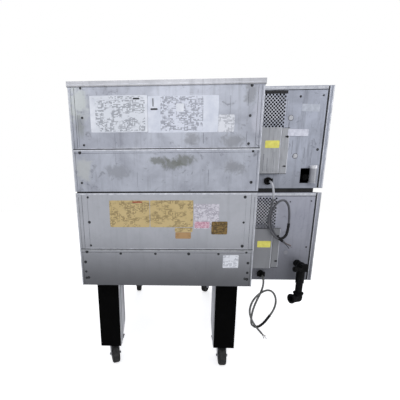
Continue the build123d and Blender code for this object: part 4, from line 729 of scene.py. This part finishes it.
screw_places = []
for top in deck_top.values():
    for inset, drops in ((0.063, (0.030, 0.162, 0.290)), (0.038, (0.326, 0.476))):
        screw_places += [(x, shroud_y, top - drop) for x in (wall_x + inset, left_x - inset)
                         for drop in drops]
width = left_x - wall_x
screw_places += [(left_x - width * share, shroud_y, deck_z - 0.335)
                 for share in (0.238, 0.44, 0.632, 0.802)]
screw_places += [(x, shroud_y, deck_z - drop) for x in (wall_x + 0.026, left_x - 0.026)
                 for drop in (0.385, 0.441, 0.478)]
ring_height = 0.0008
dirt_and_shade_rings("deck_screw_dirt_and_shade", screw_places, 0.0072, ring_height, seam_shade_and_dirt)
cabinet_places = []
for top in cabinet_top.values():
    cabinet_places += [(wall_x - 0.166, back_y + flange_proud, top - drop)
                       for drop in (0.242, 0.392)]
    cabinet_places.append((wall_x - 0.330, back_y, top - 0.308))
cabinet_places += [(wall_x - 0.330, back_y, cabinet_top["upper"] - 0.046),
                   (wall_x - 0.215, back_y, cabinet_top["upper"] - 0.050)]
dirt_and_shade_rings("cabinet_screw_dirt_and_shade", cabinet_places, 0.0058, ring_height, seam_shade_and_dirt)
# Painted shade: a dark ring outlines each plug button.
plug_places = [(wall_x - left, back_y, cabinet_top["upper"] - drop)
               for left, drop in ((0.175, 0.151), (0.216, 0.340))]
dirt_and_shade_rings("plug_shade_rings", plug_places, 0.0142, ring_height, seam_shade_and_dirt, 0.0)

# The legs are folded sheet, painted black. Their inner sides carry a painted reflection in pale
# grey, for the white floor and room seen in the gloss at a grazing angle, so the colour follows
# which way each face looks.
legs_paint, tree = start_material("black_legs_with_painted_reflection_on_inner_sides")
where = put(tree, "ShaderNodeTexCoord").outputs["Object"]
facing = put(tree, "ShaderNodeNewGeometry").outputs["Normal"]
place_x = put(tree, "ShaderNodeSeparateXYZ", {0: where}).outputs["X"]
face_x = put(tree, "ShaderNodeSeparateXYZ", {0: facing}).outputs["X"]
middle = (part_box("legs")[0].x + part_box("legs")[1].x) / 2
offset = put(tree, "ShaderNodeMath", {0: place_x, 1: middle}, operation="SUBTRACT").outputs[0]
side = put(tree, "ShaderNodeMath", {0: offset}, operation="SIGN").outputs[0]
inward = put(tree, "ShaderNodeMath", {0: side, 1: face_x}, operation="MULTIPLY").outputs[0]
# The mask picks the faces that look towards the middle, which get the painted reflection.
bare = put(tree, "ShaderNodeMath", {0: inward, 1: -0.7}, operation="LESS_THAN").outputs[0]
folds = put(tree, "ShaderNodeMapping", {"Vector": where, "Scale": (8, 55, 1.2)}).outputs[0]
# Painted reflection: pale grey streaks in place of the black paint on the inner sides.
zinc = ramped(tree, noise(tree, folds, 1.0, 2.0), "a2a3a6", "e6e7ea", 0.35, 0.65)
dust = noise(tree, where, 18.0, 6.0)
paint = ramped(tree, dust, "010101", "050505", 0.4, 0.9)
gloss = ranged(tree, dust, 0.0, 1.0, 0.6, 0.8)
finish_material(tree, Base_Color=mixed(tree, bare, paint, zinc), Roughness=gloss,
                Specular_IOR_Level=0.05)
wear(legs_paint, "legs")

# Casters: zinc-plated pressed forks, plates and brake pedals, bolted under the legs, with black
# rubber wheels. The plug buttons snapped into the cabinets' spare holes are plated as well.
corners = ("rear_left", "rear_right", "front_left", "front_right")
zinc_plate = mottled("bright_zinc_plating", "d6d7d9", "94959a", 18, (0.28, 0.45), 0.75, bump=0.1)
wear(mottled("plug_zinc_plating", "cfd0d4", "a4a6ab", 18, (0.35, 0.5), 0.5, bump=0.1,
             falloff=(deck_z - 0.02, deck_z + 0.05, "85868c", 0.9)), "plug_buttons")
wear(zinc_plate, "caster_plates", "brake_pedal_rear_left", "brake_pedal_rear_right",
     *[f"caster_fork_{corner}" for corner in corners])
black_rubber = mottled("worn_black_rubber", "2c2c2c", "131313", 25, (0.6, 0.85), bump=0.5)
wear(black_rubber, *[f"caster_wheel_{corner}" for corner in corners])
dull_screw = mottled("tarnished_screw_steel", "5c5d60", "1f1f20", 6, (0.35, 0.6), 0.8)
wear(dull_screw, "screws_and_bolts")

# Gas pipework: black malleable iron screwed together below, and a capped alloy fitting on a dark
# plug in the upper deck's opening. The glands that clamp the cords are black too.
black_iron = mottled("black_malleable_iron", "0c0c0d", "020202", 14, (0.5, 0.75), bump=0.6,
                     shine=0.12)
wear(black_iron, "gas_inlet_pipe", "gas_cock", "cord_glands")
cast_alloy = mottled("cast_alloy_fitting", "d2d3d6", "84868a", 16, (0.3, 0.5), 0.7)
wear(cast_alloy, "gas_trains")
bright_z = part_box("upper_gas_inlet")[1].z - 0.016
wear(mottled("alloy_with_bright_cap", "eeeff2", "b4b6bc", 14, (0.25, 0.4), 0.4,
             falloff=(bright_z - 0.002, bright_z + 0.002, "8c8e94", 0.8)), "upper_gas_inlet")
plug_side, plug_proud = 0.2995, 0.0105
fitting = nodes["upper_gas_inlet"].data
fitting.materials.append(black_iron)
for face in fitting.polygons:
    if face.center.x > wall_x - plug_side and face.center.y < back_y + plug_proud:
        face.material_index = 1

# Inside and on the doors: welded chamber steel dulled by heat, the belt of woven wire with its
# shafts, trays and blowers, enamelled motors, and dark heat-proof glass with moulded rockers.
oven_steel = mottled("heat_dulled_chamber_steel", "8b8780", "5e5a54", 90, (0.4, 0.6), 0.7)
wear(oven_steel, "cooking_chambers", "jet_fingers", "burners")
belt_steel = mottled("polished_belt_wire", "b9b9ba", "7d7d7e", 30, (0.25, 0.4), 0.9)
wear(belt_steel, "wire_belts", "conveyor_frames", "upper_drive_shaft", "lower_drive_shaft",
     "upper_idler_shaft", "lower_idler_shaft", "upper_crumb_tray", "lower_crumb_tray",
     "upper_blower_wheel", "lower_blower_wheel")
motor_enamel = mottled("black_motor_enamel", "121314", "050506", 35, (0.5, 0.7))
wear(motor_enamel, "blower_motors", "drive_motors", "cooling_fan_motors", "upper_cooling_fan",
     "lower_cooling_fan")
pane = mottled("oven_window_glass", "2b2d2e", "1c1e1f", 120, (0.05, 0.12))
wear(pane, "upper_window_glass", "lower_window_glass")
rocker = mottled("moulded_rocker_plastic", "7a1414", "4a0c0c", 10, (0.25, 0.35))
wear(rocker, "upper_power_switch", "lower_power_switch")

# Control panels: each bezel has four moulded rubber buttons, and above them a display that is off.
# The display is smoked acrylic with rounded corners and a lowered window, glued in its recess.
button_rubber = mottled("moulded_button_rubber", "4a4c50", "35363a", 12, (0.55, 0.7))
panels = nodes["front_panels"].data
panels.materials.append(button_rubber)
button_proud, tiny = 0.003, 0.0002
bezel_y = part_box("front_panels")[0].y + button_proud
for face in panels.polygons:
    if face.center.y < bezel_y - tiny:
        face.material_index = 1
smoked_acrylic = mottled("smoked_display_acrylic", "15171a", "0b0c0e", 40, (0.08, 0.16), bump=0.02)
display_size, display_x, display_level, sunk = (0.1192, 0.0019, 0.0432), -0.477, 0.400, 0.001
corner_round, front_round, rim_width, window_step = 0.004, 0.0005, 0.006, 0.0006
for deck, deck_base in (("upper", deck_z), ("lower", base_z)):
    blank = bmesh.new()
    bmesh.ops.create_cube(blank, size=1.0)
    bmesh.ops.scale(blank, vec=display_size, verts=blank.verts)
    upright = [edge for edge in blank.edges
               if abs((edge.verts[0].co - edge.verts[1].co).normalized().y) > 0.9]
    bmesh.ops.bevel(blank, geom=upright, offset=corner_round, segments=5, affect="EDGES")
    front = min(blank.faces, key=lambda face: face.calc_center_median().y)
    bmesh.ops.bevel(blank, geom=list(front.edges), offset=front_round, segments=2, affect="EDGES")
    front = max((face for face in blank.faces if face.normal.y < -0.99),
                key=lambda face: face.calc_area())
    bmesh.ops.inset_region(blank, faces=[front], thickness=rim_width, depth=0.0)
    bmesh.ops.inset_region(blank, faces=[front], thickness=window_step, depth=-front_round)
    middle = (display_x, bezel_y + sunk, deck_base + display_level)
    bmesh.ops.translate(blank, vec=middle, verts=blank.verts)
    glass = bpy.data.meshes.new(f"{deck}_display")
    blank.to_mesh(glass)
    blank.free()
    glass.materials.append(smoked_acrylic)
    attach(placed(f"{deck}_display", glass), "oven")
